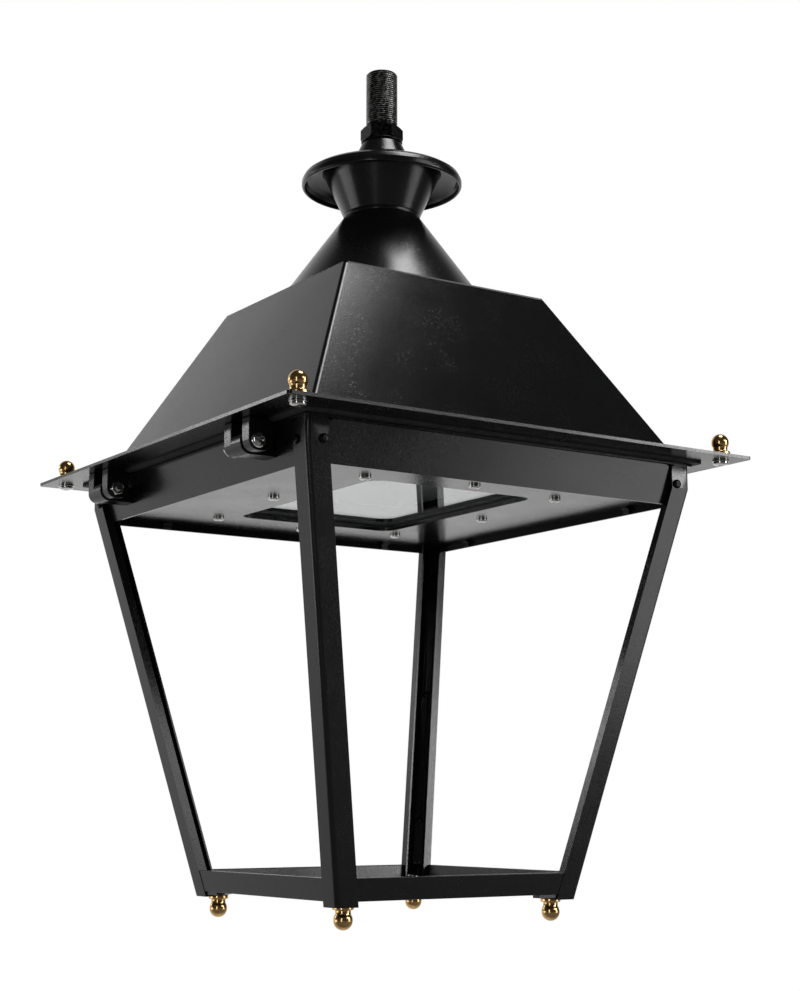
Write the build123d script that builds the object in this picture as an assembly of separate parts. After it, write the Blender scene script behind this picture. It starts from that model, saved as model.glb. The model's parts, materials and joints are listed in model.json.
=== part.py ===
"""Hanging square lantern: sheet-steel roof on a threaded nipple, open four-post frame hinged below it.

Heights in the functions are measured from the middle of the brim plate, which is the widest
level of the lantern. The written parts are lowered so that the origin lies on the nipple's
axis at the top face of the lock nut, where a bracket's socket comes to rest.
Front is -Y, right is +X, back is +Y and left, the hinge side, is -X.
"""
from build123d import *
import math
import os

# ---------------------------------------------------------------- driving dimensions, mm
SHEET = 1.5                  # folded frame steel
PANEL = 2.0                  # roof, plate and tray sheet
PASS = 0.25                  # gap round a shank in its hole

# hanging thread: 3/4 inch gas pipe thread
THREAD_R = 13.22
NIPPLE_SHANK_R = 13.0
NIPPLE_BORE_R = 10.8
NIPPLE_TOP = 343.2
NIPPLE_BOTTOM = 190.0
SEAT_HEIGHT = 294.6          # lock nut's top face, the part's origin
LOCK_NUT_FLATS = 31.0
LOCK_NUT_HEIGHT = 11.5
LOCK_NUT_TURN = -123.7       # direction of one flat
NUT_WASHER_R = 17.4
NUT_WASHER_THICK = 1.6

# cap over the chimney
CAP_RIM_R = 67.1
CAP_RIM_LOW = 241.9
CAP_RIM_TOP = 247.0
CAP_SHOULDER = (62.3, 253.1)
CAP_CONE_FOOT = (25.0, 264.4)
CAP_CONE_TOP_R = 18.4
CAP_SHEET = 2.0
FUNNEL_TOP_R = 49.4
FUNNEL_LIP = 3.0
NECK_R = 32.2
NECK_LEVEL = 214.2
NECK_PLATE = 3.0
CHIMNEY_BASE_R = 85.6
CHIMNEY_FOOT_R = 86.8
CHIMNEY_HOLE_R = 74.0

# roof
BRIM_HALF = 210.0
BRIM_THICK = 2.4
BRIM_CORNER_R = 3.0
BRIM_OPENING = 160.0
ROOF_BASE_HALF = 169.9
ROOF_TOP_HALF = 95.4
ROOF_TOP = 138.5
ROOF_CORNER_R = 2.8
GASKET_OUTER = 183.0
GASKET_INNER = 164.0
GASKET_THICK = 1.9

# ball finials
UPPER_FINIAL_AT = 192.8
LOWER_FINIAL_AT = 94.0
FINIAL_BALL_R = 6.9
FINIAL_FOOT_R = 7.8
FINIAL_FOOT = 2.8
FINIAL_NECK_R = 4.2
FINIAL_BALL_UP = 10.2        # foot's face to ball's centre
UPPER_FINIAL_STAND = 1.8     # taller collar of the upper ones
SPACER_R = 5.0
M6_R = 3.0
M6_HEAD_R = 5.9
M6_HEAD = 4.0
M6_LOW_HEAD = 2.9            # head of the finial screws
M6_WASHER_R = 6.6
M6_WASHER = 1.0

# frame: the posts' outer corner lies at ARRIS_HALF at ARRIS_LEVEL and leans in by LEAN per mm
ARRIS_HALF = 176.1
ARRIS_LEVEL = -20.0
LEAN = 0.2139
FLANGE_HALF = 177.3
FLANGE_INNER = 158.0
FLANGE_TOP = -3.3
FLANGE_THICK = 2.0
POST_LEG = 18.2
POST_LIP = 7.2
POST_BEND_R = 3.4
POST_KNEE = -23.5            # straight top end of a post
POST_TOP_R = 3.5             # rounded top corners of its two faces
POST_FOOT = -339.4
SKIRT_INSET = 5.3
SKIRT_LOW = -35.7
SKIRT_GAP = 0.6
POST_SCREW_FROM_ARRIS = 13.5
POST_SCREW_LEVEL = -20.2
POST_SCREW_R = 1.9
POST_SCREW_HEAD_R = 3.5
RING_TOP = -318.7
RING_LOW = -335.4
RING_THICK = 3.0
GUSSET_LOW = -331.6          # the gussets lie inside the ring
GUSSET_THICK = 2.4
GUSSET_LEG = 40.0
STRAP_THICK = 2.4            # straps under the ring at two opposite corners
STRAP_LEG = 36.0
LINER_WIDTH = 9.0
LINER_THICK = 1.2
LINER_TOP = -31.0
LINER_LOW = -318.0
LINER_SCREW_LEVELS = (-59.0, -170.0, -281.0)
LINER_SCREW_R = 1.5

# glazed plate under the roof
PLATE_LOW = -29.6
PLATE_THICK = 2.5
WINDOW_HALF = (75.5, 105.0)
WINDOW_R = 13.0
WINDOW_FRAME = 1.5
WINDOW_GASKET = 1.5
GLASS_THICK = 5.0
GLASS_MARGIN = 9.0
CLAMP_HALF = (110.5, 137.0)
CLAMP_R = 42.0
CLAMP_LIP = 2.5
PLATE_SCREW_CORNER = (88.8, 113.9)
PLATE_SCREW_SIDE = (101.0, 128.4)
M5_R = 2.5
M5_HEAD_R = 4.6
M5_HEAD = 3.4
CLIP_WIDTH = 7.5
CLIP_AT = 111.0

# hinges on the left
HINGE_X = -190.5
HINGE_Z = -17.5
HINGE_Y = 116.6
EAR_THICK = 10.4
EAR_R = 7.4
EAR_INNER_X = -179.4
KNUCKLE_WIDTH = 15.6
KNUCKLE_R = 8.6
EAR_GAP = 16.0
BOLT_RUN = 0.06              # radial clearance of the bolts in the knuckles
HINGE_NUT_FLATS = 10.0
HINGE_NUT = 5.0

# captive thumbscrew on the right
LATCH_X = 186.0
LATCH_R = 2.8
LATCH_HEAD_R = 8.0
LATCH_BOSS_R = 6.5
LATCH_HEAD = 10.0
LATCH_TIP = 1.8
LUG_TOP = -15.0
LUG_THICK = 3.0
LUG_WIDTH = 22.0
LATCH_CLIP_TOP = -5.5

# gear inside the roof
TRAY_HALF = 148.0
TRAY_LEVEL = 18.0
HEAT_SINK_HALF = (75.0, 100.0)
BOARD_HALF = (60.0, 86.0)
FIN_HEIGHT = 18.0
FINS = 11
LENS_ROWS = 6
LENS_COLUMNS = 4
LENS_R = 9.5
LENS_PITCH = 27.0

parts = {}


# ---------------------------------------------------------------- helpers
def arris(z):
    """Half size of the leaning frame at a height."""
    return ARRIS_HALF + LEAN * (z - ARRIS_LEVEL)


def roof_half(z):
    """Half size of the roof's outer face at a height above the brim."""
    foot = BRIM_THICK / 2
    return ROOF_BASE_HALF - (ROOF_BASE_HALF - ROOF_TOP_HALF) * (z - foot) / (ROOF_TOP - foot)


def disc(radius, low, high, x=0, y=0):
    """Upright cylinder between two heights."""
    return Pos(x, y, low) * Cylinder(radius, high - low, align=(Align.CENTER, Align.CENTER, Align.MIN))


def block(x0, x1, y0, y1, z0, z1):
    """Box between two corners."""
    return Pos((x0 + x1) / 2, (y0 + y1) / 2, (z0 + z1) / 2) * Box(x1 - x0, y1 - y0, z1 - z0)


def slab(half_x, half_y, corner, low, high):
    """Flat plate with rounded corners between two heights."""
    outline = RectangleRounded(2 * half_x, 2 * half_y, corner)
    return Pos(0, 0, low) * extrude(outline, high - low)


def spun(*points):
    """Solid of revolution about Z from (radius, height) points."""
    profile = Polyline(*[(r, 0, z) for r, z in points], close=True)
    return revolve(make_face(profile), Axis.Z)


def four_turns(shape):
    """The same piece on all four sides or corners."""
    return [Rot(0, 0, 90 * i) * shape for i in range(4)]


def group(pieces):
    """Separate solids that share one node."""
    return Compound(children=[piece.solid() for piece in pieces])


def hexagon(flats, low, high, turn=0.0):
    """Hexagon nut body with its corners turned off at both ends."""
    tall = high - low
    outline = Rot(0, 0, turn + 30) * RegularPolygon(flats / 2, 6, major_radius=False)
    body = Pos(0, 0, low) * extrude(outline, tall)
    across = flats / math.sqrt(3)
    face_r = flats / 2 - 0.3
    drop = (across - face_r) * math.tan(math.radians(30))
    turned = spun((0, low), (face_r, low), (across, low + drop),
                  (across, high - drop), (face_r, high), (0, high))
    return body & turned


def pan_head(radius, height, shank_r, shank, washer_r=0.0, washer=0.0):
    """Screw standing on its head's seat at the origin: head below, shank above, washer under the head."""
    low = -washer
    points = [(0, shank), (shank_r, shank), (shank_r, 0)]
    if washer:
        points += [(washer_r, 0), (washer_r, low)]
    points += [(radius, low), (radius, low - 0.35 * height)]
    crown = 0.62 * radius
    profile = Polyline(*[(r, 0, z) for r, z in points])
    dome = ThreePointArc((radius, 0, low - 0.35 * height),
                         (0.88 * radius, 0, low - 0.78 * height), (crown, 0, low - height))
    close = Polyline((crown, 0, low - height), (0, 0, low - height), (0, 0, shank))
    return revolve(make_face([profile, dome, close]), Axis.Z)


def finial(ball_r):
    """Ball finial standing on its foot at the origin, drilled for an M6 screw from below."""
    foot = spun((0, 0), (FINIAL_FOOT_R, 0), (FINIAL_FOOT_R, FINIAL_FOOT - 0.5),
                (FINIAL_FOOT_R - 0.5, FINIAL_FOOT),
                (FINIAL_NECK_R + 1.2, FINIAL_FOOT), (FINIAL_NECK_R, FINIAL_FOOT + 1.2),
                (FINIAL_NECK_R, FINIAL_BALL_UP - 4.0), (0, FINIAL_BALL_UP - 4.0))
    ball = Pos(0, 0, FINIAL_BALL_UP) * Sphere(ball_r)
    return foot + ball - disc(M6_R + 0.05, 0, 8.0)


# ---------------------------------------------------------------- hanging thread and cap
def make_nipple():
    """Hollow nipple: the free thread above the lock nut and a plain shank down into the chimney."""
    chamfer_size = 1.4
    outside = spun((0, NIPPLE_BOTTOM), (NIPPLE_SHANK_R - 1, NIPPLE_BOTTOM),
                   (NIPPLE_SHANK_R, NIPPLE_BOTTOM + 1), (NIPPLE_SHANK_R, SEAT_HEIGHT),
                   (THREAD_R, SEAT_HEIGHT), (THREAD_R, NIPPLE_TOP - chamfer_size),
                   (THREAD_R - chamfer_size, NIPPLE_TOP), (0, NIPPLE_TOP))
    return outside - disc(NIPPLE_BORE_R, NIPPLE_BOTTOM, NIPPLE_TOP)


def make_lock_nuts():
    low = SEAT_HEIGHT - LOCK_NUT_HEIGHT
    countersink = spun((0, SEAT_HEIGHT - 0.6), (NIPPLE_SHANK_R, SEAT_HEIGHT - 0.6),
                       (NIPPLE_SHANK_R + 0.6, SEAT_HEIGHT), (0, SEAT_HEIGHT))
    upper = hexagon(LOCK_NUT_FLATS, low, SEAT_HEIGHT, LOCK_NUT_TURN) - countersink
    upper -= disc(NIPPLE_SHANK_R, low, SEAT_HEIGHT)
    inner_low = NECK_LEVEL - LOCK_NUT_HEIGHT
    inner = hexagon(LOCK_NUT_FLATS + 5, inner_low, NECK_LEVEL) - disc(NIPPLE_SHANK_R, inner_low, NECK_LEVEL)
    washer = disc(NUT_WASHER_R, low - NUT_WASHER_THICK, low)
    washer -= disc(NIPPLE_SHANK_R + PASS, low - NUT_WASHER_THICK, low)
    return upper, inner, washer


def cap_top():
    """Height of the cap's top face, under the washer."""
    return SEAT_HEIGHT - LOCK_NUT_HEIGHT - NUT_WASHER_THICK


def cap_slope():
    """Rise of the cap's dome for each mm towards the axis."""
    return (CAP_CONE_FOOT[1] - CAP_SHOULDER[1]) / (CAP_SHOULDER[0] - CAP_CONE_FOOT[0])


def cap_underside(radius):
    """Height of the dome's lower face at a radius."""
    return CAP_SHOULDER[1] - CAP_SHEET + cap_slope() * (CAP_SHOULDER[0] - radius)


def make_cap_disc():
    """Spun disc with a turned-down rim, a shallow dome and a short cone up to the washer."""
    top = cap_top()
    hole = NIPPLE_SHANK_R + PASS
    inner_rim = CAP_RIM_R - CAP_SHEET
    inner_shoulder = (CAP_SHOULDER[0] - 0.6, cap_underside(CAP_SHOULDER[0] - 0.6))
    outer = Polyline((hole, 0, top), (CAP_CONE_TOP_R, 0, top), (CAP_CONE_FOOT[0], 0, CAP_CONE_FOOT[1]),
                     (CAP_SHOULDER[0], 0, CAP_SHOULDER[1]))
    bend = ThreePointArc((CAP_SHOULDER[0], 0, CAP_SHOULDER[1]),
                         (CAP_RIM_R - 1.2, 0, CAP_RIM_TOP + 3.2), (CAP_RIM_R, 0, CAP_RIM_TOP - 1.0))
    foot_in = CAP_CONE_FOOT[0] - CAP_SHEET
    inner = Polyline((CAP_RIM_R, 0, CAP_RIM_TOP - 1.0), (CAP_RIM_R, 0, CAP_RIM_LOW),
                     (inner_rim, 0, CAP_RIM_LOW), (inner_rim, 0, CAP_RIM_TOP - 1.0),
                     (inner_shoulder[0], 0, inner_shoulder[1]),
                     (foot_in, 0, cap_underside(foot_in)), (CAP_CONE_TOP_R - 1.6, 0, top - CAP_SHEET),
                     (hole, 0, top - CAP_SHEET), (hole, 0, top))
    return revolve(make_face([outer, bend, inner]), Axis.Z)


def make_funnel():
    """Inverted cone between the neck and the cap, with a lip that bears on the cap's underside."""
    low = NECK_LEVEL + NECK_PLATE
    lip_r = FUNNEL_TOP_R + FUNNEL_LIP
    inner_top = FUNNEL_TOP_R - SHEET * 1.1
    return spun((NECK_R - SHEET * 1.1, low), (NECK_R, low),
                (FUNNEL_TOP_R, cap_underside(FUNNEL_TOP_R) - SHEET),
                (lip_r, cap_underside(lip_r) - SHEET), (lip_r, cap_underside(lip_r)),
                (inner_top, cap_underside(inner_top)))


def make_chimney():
    """Sheet cone on the roof's top plate, with a foot ring and a plate across its neck."""
    wall = SHEET * 1.25
    cone = spun((CHIMNEY_BASE_R, ROOF_TOP + SHEET), (CHIMNEY_FOOT_R, ROOF_TOP + SHEET),
                (CHIMNEY_FOOT_R, ROOF_TOP), (CHIMNEY_BASE_R - wall, ROOF_TOP),
                (NECK_R - wall, NECK_LEVEL), (NECK_R, NECK_LEVEL))
    neck = disc(NECK_R, NECK_LEVEL, NECK_LEVEL + NECK_PLATE)
    neck -= disc(NIPPLE_SHANK_R + PASS, NECK_LEVEL, NECK_LEVEL + NECK_PLATE)
    return cone, neck


# ---------------------------------------------------------------- roof
def make_roof_shell():
    """Four leaning roof faces folded from sheet, open at both ends."""
    low = BRIM_THICK / 2
    high = ROOF_TOP - SHEET
    wall = PANEL * math.sqrt(1 + ((ROOF_BASE_HALF - ROOF_TOP_HALF) / ROOF_TOP) ** 2)

    def ring(z, inset, corner):
        side = 2 * (roof_half(z) - inset)
        return Pos(0, 0, z) * RectangleRounded(side, side, corner)

    outer = loft([ring(low, 0, ROOF_CORNER_R), ring(high, 0, ROOF_CORNER_R)], ruled=True)
    inner = loft([ring(low, wall, ROOF_CORNER_R - 1.5), ring(high, wall, ROOF_CORNER_R - 1.5)], ruled=True)
    return outer - inner


def make_roof_plates():
    """Brim with its square opening and finial holes, and the plate that closes the roof's top."""
    low = -BRIM_THICK / 2
    brim = slab(BRIM_HALF, BRIM_HALF, BRIM_CORNER_R, low, -low)
    brim -= slab(BRIM_OPENING, BRIM_OPENING, 4, low, -low)
    hole = disc(M6_R + PASS, low, -low, UPPER_FINIAL_AT, UPPER_FINIAL_AT)
    for cut in four_turns(hole):
        brim -= cut
    brim -= disc(LATCH_R + 0.7, low, -low, LATCH_X, 0)
    top = slab(ROOF_TOP_HALF, ROOF_TOP_HALF, ROOF_CORNER_R, ROOF_TOP - SHEET, ROOF_TOP)
    top -= disc(CHIMNEY_HOLE_R, ROOF_TOP - SHEET, ROOF_TOP)
    return brim, top


def make_roof_gasket():
    """Flat rubber ring under the brim, notched round the hinge ears and the latch boss."""
    high = -BRIM_THICK / 2
    low = high - GASKET_THICK
    gasket = slab(GASKET_OUTER, GASKET_OUTER, 3, low, high)
    gasket -= slab(GASKET_INNER, GASKET_INNER, 3, low, high)
    reach = EAR_GAP / 2 + EAR_THICK + 0.6
    notch_x = EAR_INNER_X + 0.4
    for y in (-HINGE_Y, HINGE_Y):
        gasket -= block(-GASKET_OUTER - 1, notch_x, y - reach, y + reach, low, high)
    half_boss = LATCH_BOSS_R + 0.5
    return gasket - block(LATCH_X - half_boss, GASKET_OUTER + 1, -half_boss, half_boss, low, high)


def make_upper_finials():
    seat = BRIM_THICK / 2
    ball = Pos(0, 0, UPPER_FINIAL_STAND) * finial(FINIAL_BALL_R)
    ball += disc(FINIAL_FOOT_R, 0, UPPER_FINIAL_STAND) - disc(M6_R + 0.05, 0, UPPER_FINIAL_STAND)
    ball = Pos(UPPER_FINIAL_AT, UPPER_FINIAL_AT, seat) * ball
    screw = pan_head(M6_HEAD_R, M6_LOW_HEAD, M6_R, BRIM_THICK + 7.0, M6_WASHER_R, M6_WASHER)
    screw = Pos(UPPER_FINIAL_AT, UPPER_FINIAL_AT, -seat) * screw
    return group(four_turns(ball)), group(four_turns(screw))


# ---------------------------------------------------------------- frame
def post_section(half, z):
    """Outline of a post at a height: an angle with both edges turned in, its corner at (half, half)."""
    t = SHEET
    w = POST_LEG
    p = POST_LIP
    r = POST_BEND_R
    a = Pos(half, half, z)
    corner = r * (1 - math.sqrt(0.5))
    inner_r = max(r - t, 0.6)
    inner_corner = t + inner_r * (1 - math.sqrt(0.5))
    outer = Polyline((-w, -p), (-w, 0), (-r, 0))
    bend = ThreePointArc((-r, 0), (-corner, -corner), (0, -r))
    down = Polyline((0, -r), (0, -w), (-p, -w), (-p, -w + t), (-t, -w + t), (-t, -t - inner_r))
    inner_bend = ThreePointArc((-t, -t - inner_r), (-inner_corner, -inner_corner), (-t - inner_r, -t))
    back = Polyline((-t - inner_r, -t), (-w + t, -t), (-w + t, -p), (-w, -p))
    return a * make_face([outer, bend, down, inner_bend, back])


def post_screw_places():
    """Places of the two screws in the top of the back-right post, as (centre, outward direction)."""
    half = arris(POST_KNEE)
    off = half - POST_SCREW_FROM_ARRIS
    return [Location((off, half, POST_SCREW_LEVEL), (90, 0, 0)),
            Location((half, off, POST_SCREW_LEVEL), (0, -90, 0))]


def make_post():
    """Back-right corner post: a straight top end, then a lean to the foot."""
    flange_low = FLANGE_TOP - FLANGE_THICK
    knee = arris(POST_KNEE)
    post = loft([post_section(knee, flange_low), post_section(knee, POST_KNEE)], ruled=True)
    post += loft([post_section(knee, POST_KNEE), post_section(arris(POST_FOOT), POST_FOOT)], ruled=True)
    edge = knee - POST_LEG
    r = POST_TOP_R
    corner = block(edge - 1, edge + r, knee - POST_LIP - 1, knee + 1, flange_low - r, flange_low + 1)
    corner -= Location((edge + r, knee, flange_low - r), (90, 0, 0)) * Cylinder(r, 30)
    post -= corner
    post -= mirror(corner, about=Plane((0, 0, 0), x_dir=(0, 0, 1), z_dir=(1, -1, 0)))
    for place in post_screw_places():
        post -= place * Cylinder(POST_SCREW_R + 0.1, 8)
    return post


def make_post_screws():
    screw = pan_head(POST_SCREW_HEAD_R, 2.1, POST_SCREW_R, 7.0)
    return group([turn for place in post_screw_places() for turn in four_turns(place * screw)])


def make_flange():
    """Top ring of the frame, with two tabs behind each post that take the post screws."""
    low = FLANGE_TOP - FLANGE_THICK
    ring = slab(FLANGE_HALF, FLANGE_HALF, 1.5, low, FLANGE_TOP)
    ring -= slab(FLANGE_INNER, FLANGE_INNER, 3, low, FLANGE_TOP)
    half = arris(POST_KNEE)
    face = half - SHEET - 0.9
    tab_low = -25.5
    side = half - POST_SCREW_FROM_ARRIS
    tab = block(side - 2.8, side + 4.4, face - PANEL, face, tab_low, low)
    tab -= Location((side, half, POST_SCREW_LEVEL), (90, 0, 0)) * Cylinder(POST_SCREW_R, 20)
    twin = mirror(tab, about=Plane((0, 0, 0), x_dir=(0, 0, 1), z_dir=(1, -1, 0)))
    return ring + four_turns(tab) + four_turns(twin)


def make_skirt():
    """Back skirt panel: a leaning strip between two posts, rounded at its upper corners."""
    top = FLANGE_TOP - FLANGE_THICK
    slope = math.sqrt(1 + LEAN ** 2)
    tall = (top - SKIRT_LOW) * slope
    low_half = arris(SKIRT_LOW) - POST_LEG - SKIRT_GAP
    top_half = arris(POST_KNEE) - POST_LEG - SKIRT_GAP
    knee = (POST_KNEE - SKIRT_LOW) * slope
    r = 4.5
    arc = r * (1 - math.sqrt(0.5))
    sides = Polyline((-top_half, tall - r), (-top_half, knee), (-low_half, 0), (-low_half, -2),
                     (low_half, -2), (low_half, 0), (top_half, knee), (top_half, tall - r))
    right = ThreePointArc((top_half, tall - r), (top_half - arc, tall - arc), (top_half - r, tall))
    upper = Polyline((top_half - r, tall), (-top_half + r, tall))
    left = ThreePointArc((-top_half + r, tall), (-top_half + arc, tall - arc), (-top_half, tall - r))
    outer = arris(SKIRT_LOW) - SKIRT_INSET
    plane = Plane(origin=(0, outer, SKIRT_LOW), x_dir=(-1, 0, 0), z_dir=(0, 1, -LEAN))
    panel = extrude(plane * make_face([sides, right, upper, left]), -SHEET)
    panel -= block(-200, 200, 100, 250, SKIRT_LOW - 10, SKIRT_LOW)
    panel -= block(-200, 200, 100, 250, top, top + 10)
    return panel


def make_plate_clips():
    """Small angles on the skirts' inner faces that carry the plate's edge."""
    low = SKIRT_LOW + 0.9
    skirt = SHEET * math.sqrt(1 + LEAN ** 2)
    pieces = []
    for x in (-CLIP_AT, CLIP_AT):
        outer_low = arris(low) - SKIRT_INSET - skirt
        outer_high = arris(PLATE_LOW) - SKIRT_INSET - skirt
        start = x - CLIP_WIDTH / 2
        shelf = outer_low - 4.0
        inside = outer_low - 1.6
        section = [(outer_low, low), (outer_high, PLATE_LOW), (shelf, PLATE_LOW),
                   (shelf, PLATE_LOW - 1.6), (inside, PLATE_LOW - 1.6), (inside, low)]
        profile = Polyline(*[(start, y, z) for y, z in section], close=True)
        pieces.append(extrude(make_face(profile), CLIP_WIDTH, dir=(1, 0, 0)))
    return group([turn for piece in pieces for turn in four_turns(piece)])


def make_ring_bar():
    """Back bar of the bottom ring, leaning with the posts and butted between them."""
    def strip(z):
        half = arris(z) - POST_LEG
        return Pos(0, arris(z) - 0.4 - RING_THICK / 2, z) * Rectangle(2 * half, RING_THICK)

    return loft([strip(RING_LOW), strip(RING_TOP)], ruled=True)


def corner_plate(low, high, under, leg, hole_r):
    """Plate across a corner of the ring, stepped round the post's turned-in edges."""
    half = arris(low)
    bar = half - under
    tip = half - leg
    before_lip = half - POST_LEG - 0.5
    past_lip = arris(high) - POST_LEG + SHEET + 0.5
    lip_edge = half - POST_LIP - 0.7
    deep = half - SHEET - 0.3
    quarter = [(tip, bar - 7.0), (tip, bar), (before_lip, bar), (before_lip, lip_edge),
               (past_lip, lip_edge), (past_lip, deep), (deep - 3.3, deep)]
    outline = quarter + [(y, x) for x, y in reversed(quarter)]
    plate = Pos(0, 0, low) * extrude(make_face(Polyline(*outline, close=True)), high - low)
    return plate - disc(hole_r, low, high, LOWER_FINIAL_AT, LOWER_FINIAL_AT)


def make_gussets():
    """Plates inside the ring's corners that carry the lower finials, and straps under two corners."""
    gusset = corner_plate(GUSSET_LOW, GUSSET_LOW + GUSSET_THICK, 0.4 + RING_THICK, GUSSET_LEG, M6_R + PASS)
    strap = corner_plate(RING_LOW - STRAP_THICK, RING_LOW, 1.1, STRAP_LEG, SPACER_R + PASS)
    return group(four_turns(gusset)), group([Rot(0, 0, 90) * strap, Rot(0, 0, -90) * strap])


def make_lower_finials():
    """Balls under the posts, each on a collar and a spacer that reaches up to the gusset."""
    foot = POST_FOOT + 0.9
    ball = Pos(0, 0, foot) * Rot(180, 0, 0) * finial(FINIAL_BALL_R + 0.15)
    ball += disc(SPACER_R, foot, GUSSET_LOW) - disc(M6_R + 0.05, foot, GUSSET_LOW)
    ball = Pos(LOWER_FINIAL_AT, LOWER_FINIAL_AT, 0) * ball
    top = GUSSET_LOW + GUSSET_THICK
    screw = pan_head(M6_HEAD_R, M6_LOW_HEAD, M6_R, top - foot + 7.0)
    screw = Pos(LOWER_FINIAL_AT, LOWER_FINIAL_AT, top) * Rot(180, 0, 0) * screw
    return group(four_turns(ball)), group(four_turns(screw))


def leaning_core(inset, low=-60.0, high=20.0):
    """Solid that fills the leaning frame up to a distance inside the posts' outer planes."""
    rings = []
    for z in (low, high):
        side = 2 * (arris(z) - inset)
        rings.append(Pos(0, 0, z) * Rectangle(side, side))
    return loft(rings, ruled=True)


def make_liner():
    """Strip across the inside corner of the back-right post, its edges bevelled to lie on both legs."""
    near = LINER_WIDTH / math.sqrt(2)
    far = near - LINER_THICK * math.sqrt(2)

    def section(z):
        half = arris(z) - SHEET
        outline = Polyline((half - near, half), (half - far, half),
                           (half, half - far), (half, half - near), close=True)
        return Pos(0, 0, z) * make_face(outline)

    liner = loft([section(LINER_LOW), section(LINER_TOP)], ruled=True)
    for place in liner_screw_places():
        liner -= place * Cylinder(LINER_SCREW_R + 0.05, 12)
    return liner


def liner_screw_places():
    """Places on the back-right liner's inner face, each turned so that -Z looks at the lantern's axis."""
    near = LINER_WIDTH / math.sqrt(2) / 2
    tilt = math.degrees(math.atan(LEAN * math.sqrt(2)))
    places = []
    for z in LINER_SCREW_LEVELS:
        half = arris(z) - SHEET - near
        places.append(Location((half, half, z)) * Rot(0, 0, 45) * Rot(0, 90 + tilt, 0))
    return places


def make_liner_screws():
    screw = pan_head(3.0, 1.8, LINER_SCREW_R, 2.6)
    return group([turn for place in liner_screw_places() for turn in four_turns(place * screw)])


# ---------------------------------------------------------------- glazing
def make_plate():
    """Plate inside the skirts: it reaches into the posts and steps back round their turned-in edges."""
    high = PLATE_LOW + PLATE_THICK
    side = arris(PLATE_LOW) - SKIRT_INSET - SHEET - 0.2
    leg = arris(PLATE_LOW) - POST_LEG
    deep = arris(PLATE_LOW) - SHEET - 0.3
    back = arris(PLATE_LOW) - POST_LIP - 0.5
    quarter = [(leg - 0.5, side), (leg - 0.5, back), (leg + SHEET + 1.1, back), (leg + SHEET + 1.1, deep),
               (deep - 8.0, deep)]
    corner = quarter + [(y, x) for x, y in reversed(quarter)]
    outline = []
    for x, y in corner:
        outline.append((x, y))
    for x, y in corner:
        outline.append((y, -x))
    for x, y in corner:
        outline.append((-x, -y))
    for x, y in corner:
        outline.append((-y, x))
    plate = Pos(0, 0, PLATE_LOW) * extrude(make_face(Polyline(*outline, close=True)), PLATE_THICK)
    plate -= slab(*WINDOW_HALF, WINDOW_R, PLATE_LOW, high)
    for x, y in plate_screw_places():
        plate -= disc(M5_R + PASS, PLATE_LOW, high, x, y)
    return plate


def plate_screw_places():
    """Centres of the eight screws round the window."""
    cx, cy = PLATE_SCREW_CORNER
    sx, sy = PLATE_SCREW_SIDE
    return [(cx, cy), (-cx, cy), (-cx, -cy), (cx, -cy), (sx, 0), (-sx, 0), (0, sy), (0, -sy)]


def make_glazing():
    """Window frame on the plate, gasket, glass and the clamp frame that holds them down."""
    frame_low = PLATE_LOW + PLATE_THICK
    gasket_low = frame_low + WINDOW_FRAME
    glass_low = gasket_low + WINDOW_GASKET
    glass_high = glass_low + GLASS_THICK
    clamp_high = glass_high + CLAMP_LIP
    glass_half = [h + GLASS_MARGIN for h in WINDOW_HALF]
    frame = slab(*CLAMP_HALF, CLAMP_R, frame_low, gasket_low)
    frame -= slab(*WINDOW_HALF, WINDOW_R, frame_low, gasket_low)
    gasket = slab(*glass_half, WINDOW_R + GLASS_MARGIN, gasket_low, glass_low)
    gasket -= slab(*WINDOW_HALF, WINDOW_R, gasket_low, glass_low)
    glass = slab(*glass_half, WINDOW_R + GLASS_MARGIN, glass_low, glass_high)
    clamp = slab(*CLAMP_HALF, CLAMP_R, gasket_low, clamp_high)
    clamp -= slab(*[h + 0.8 for h in glass_half], WINDOW_R + GLASS_MARGIN + 0.8, gasket_low, glass_high)
    clamp -= slab(*[h + 3.0 for h in WINDOW_HALF], WINDOW_R + 3.0, glass_high, clamp_high)
    for x, y in plate_screw_places():
        frame -= disc(M5_R + PASS, frame_low, gasket_low, x, y)
        clamp -= disc(M5_R, gasket_low, clamp_high, x, y)
    shank = clamp_high - PLATE_LOW
    screw = pan_head(M5_HEAD_R, M5_HEAD, M5_R, shank)
    screws = group([Pos(x, y, PLATE_LOW) * screw for x, y in plate_screw_places()])
    return frame, gasket, glass, clamp, screws


# ---------------------------------------------------------------- hinges and latch
def make_ear(low_y):
    """Hinge ear under the brim, rounded at its two lower corners."""
    outer_x = HINGE_X - EAR_R
    top = -BRIM_THICK / 2
    low = HINGE_Z - EAR_R
    profile = RectangleRounded(EAR_INNER_X - outer_x, 2 * (top - low), EAR_R)
    face = Plane(origin=((outer_x + EAR_INNER_X) / 2, low_y, top), x_dir=(1, 0, 0), z_dir=(0, 1, 0))
    solid = extrude(face * profile, EAR_THICK)
    solid &= block(-220, -150, low_y, low_y + EAR_THICK, low - 1, top)
    return solid - bolt_hole(M6_R, low_y, low_y + EAR_THICK)


def bolt_hole(radius, y0, y1):
    """Round hole along the hinge axis."""
    return Pos(HINGE_X, (y0 + y1) / 2, HINGE_Z) * Rot(90, 0, 0) * Cylinder(radius, y1 - y0)


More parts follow.
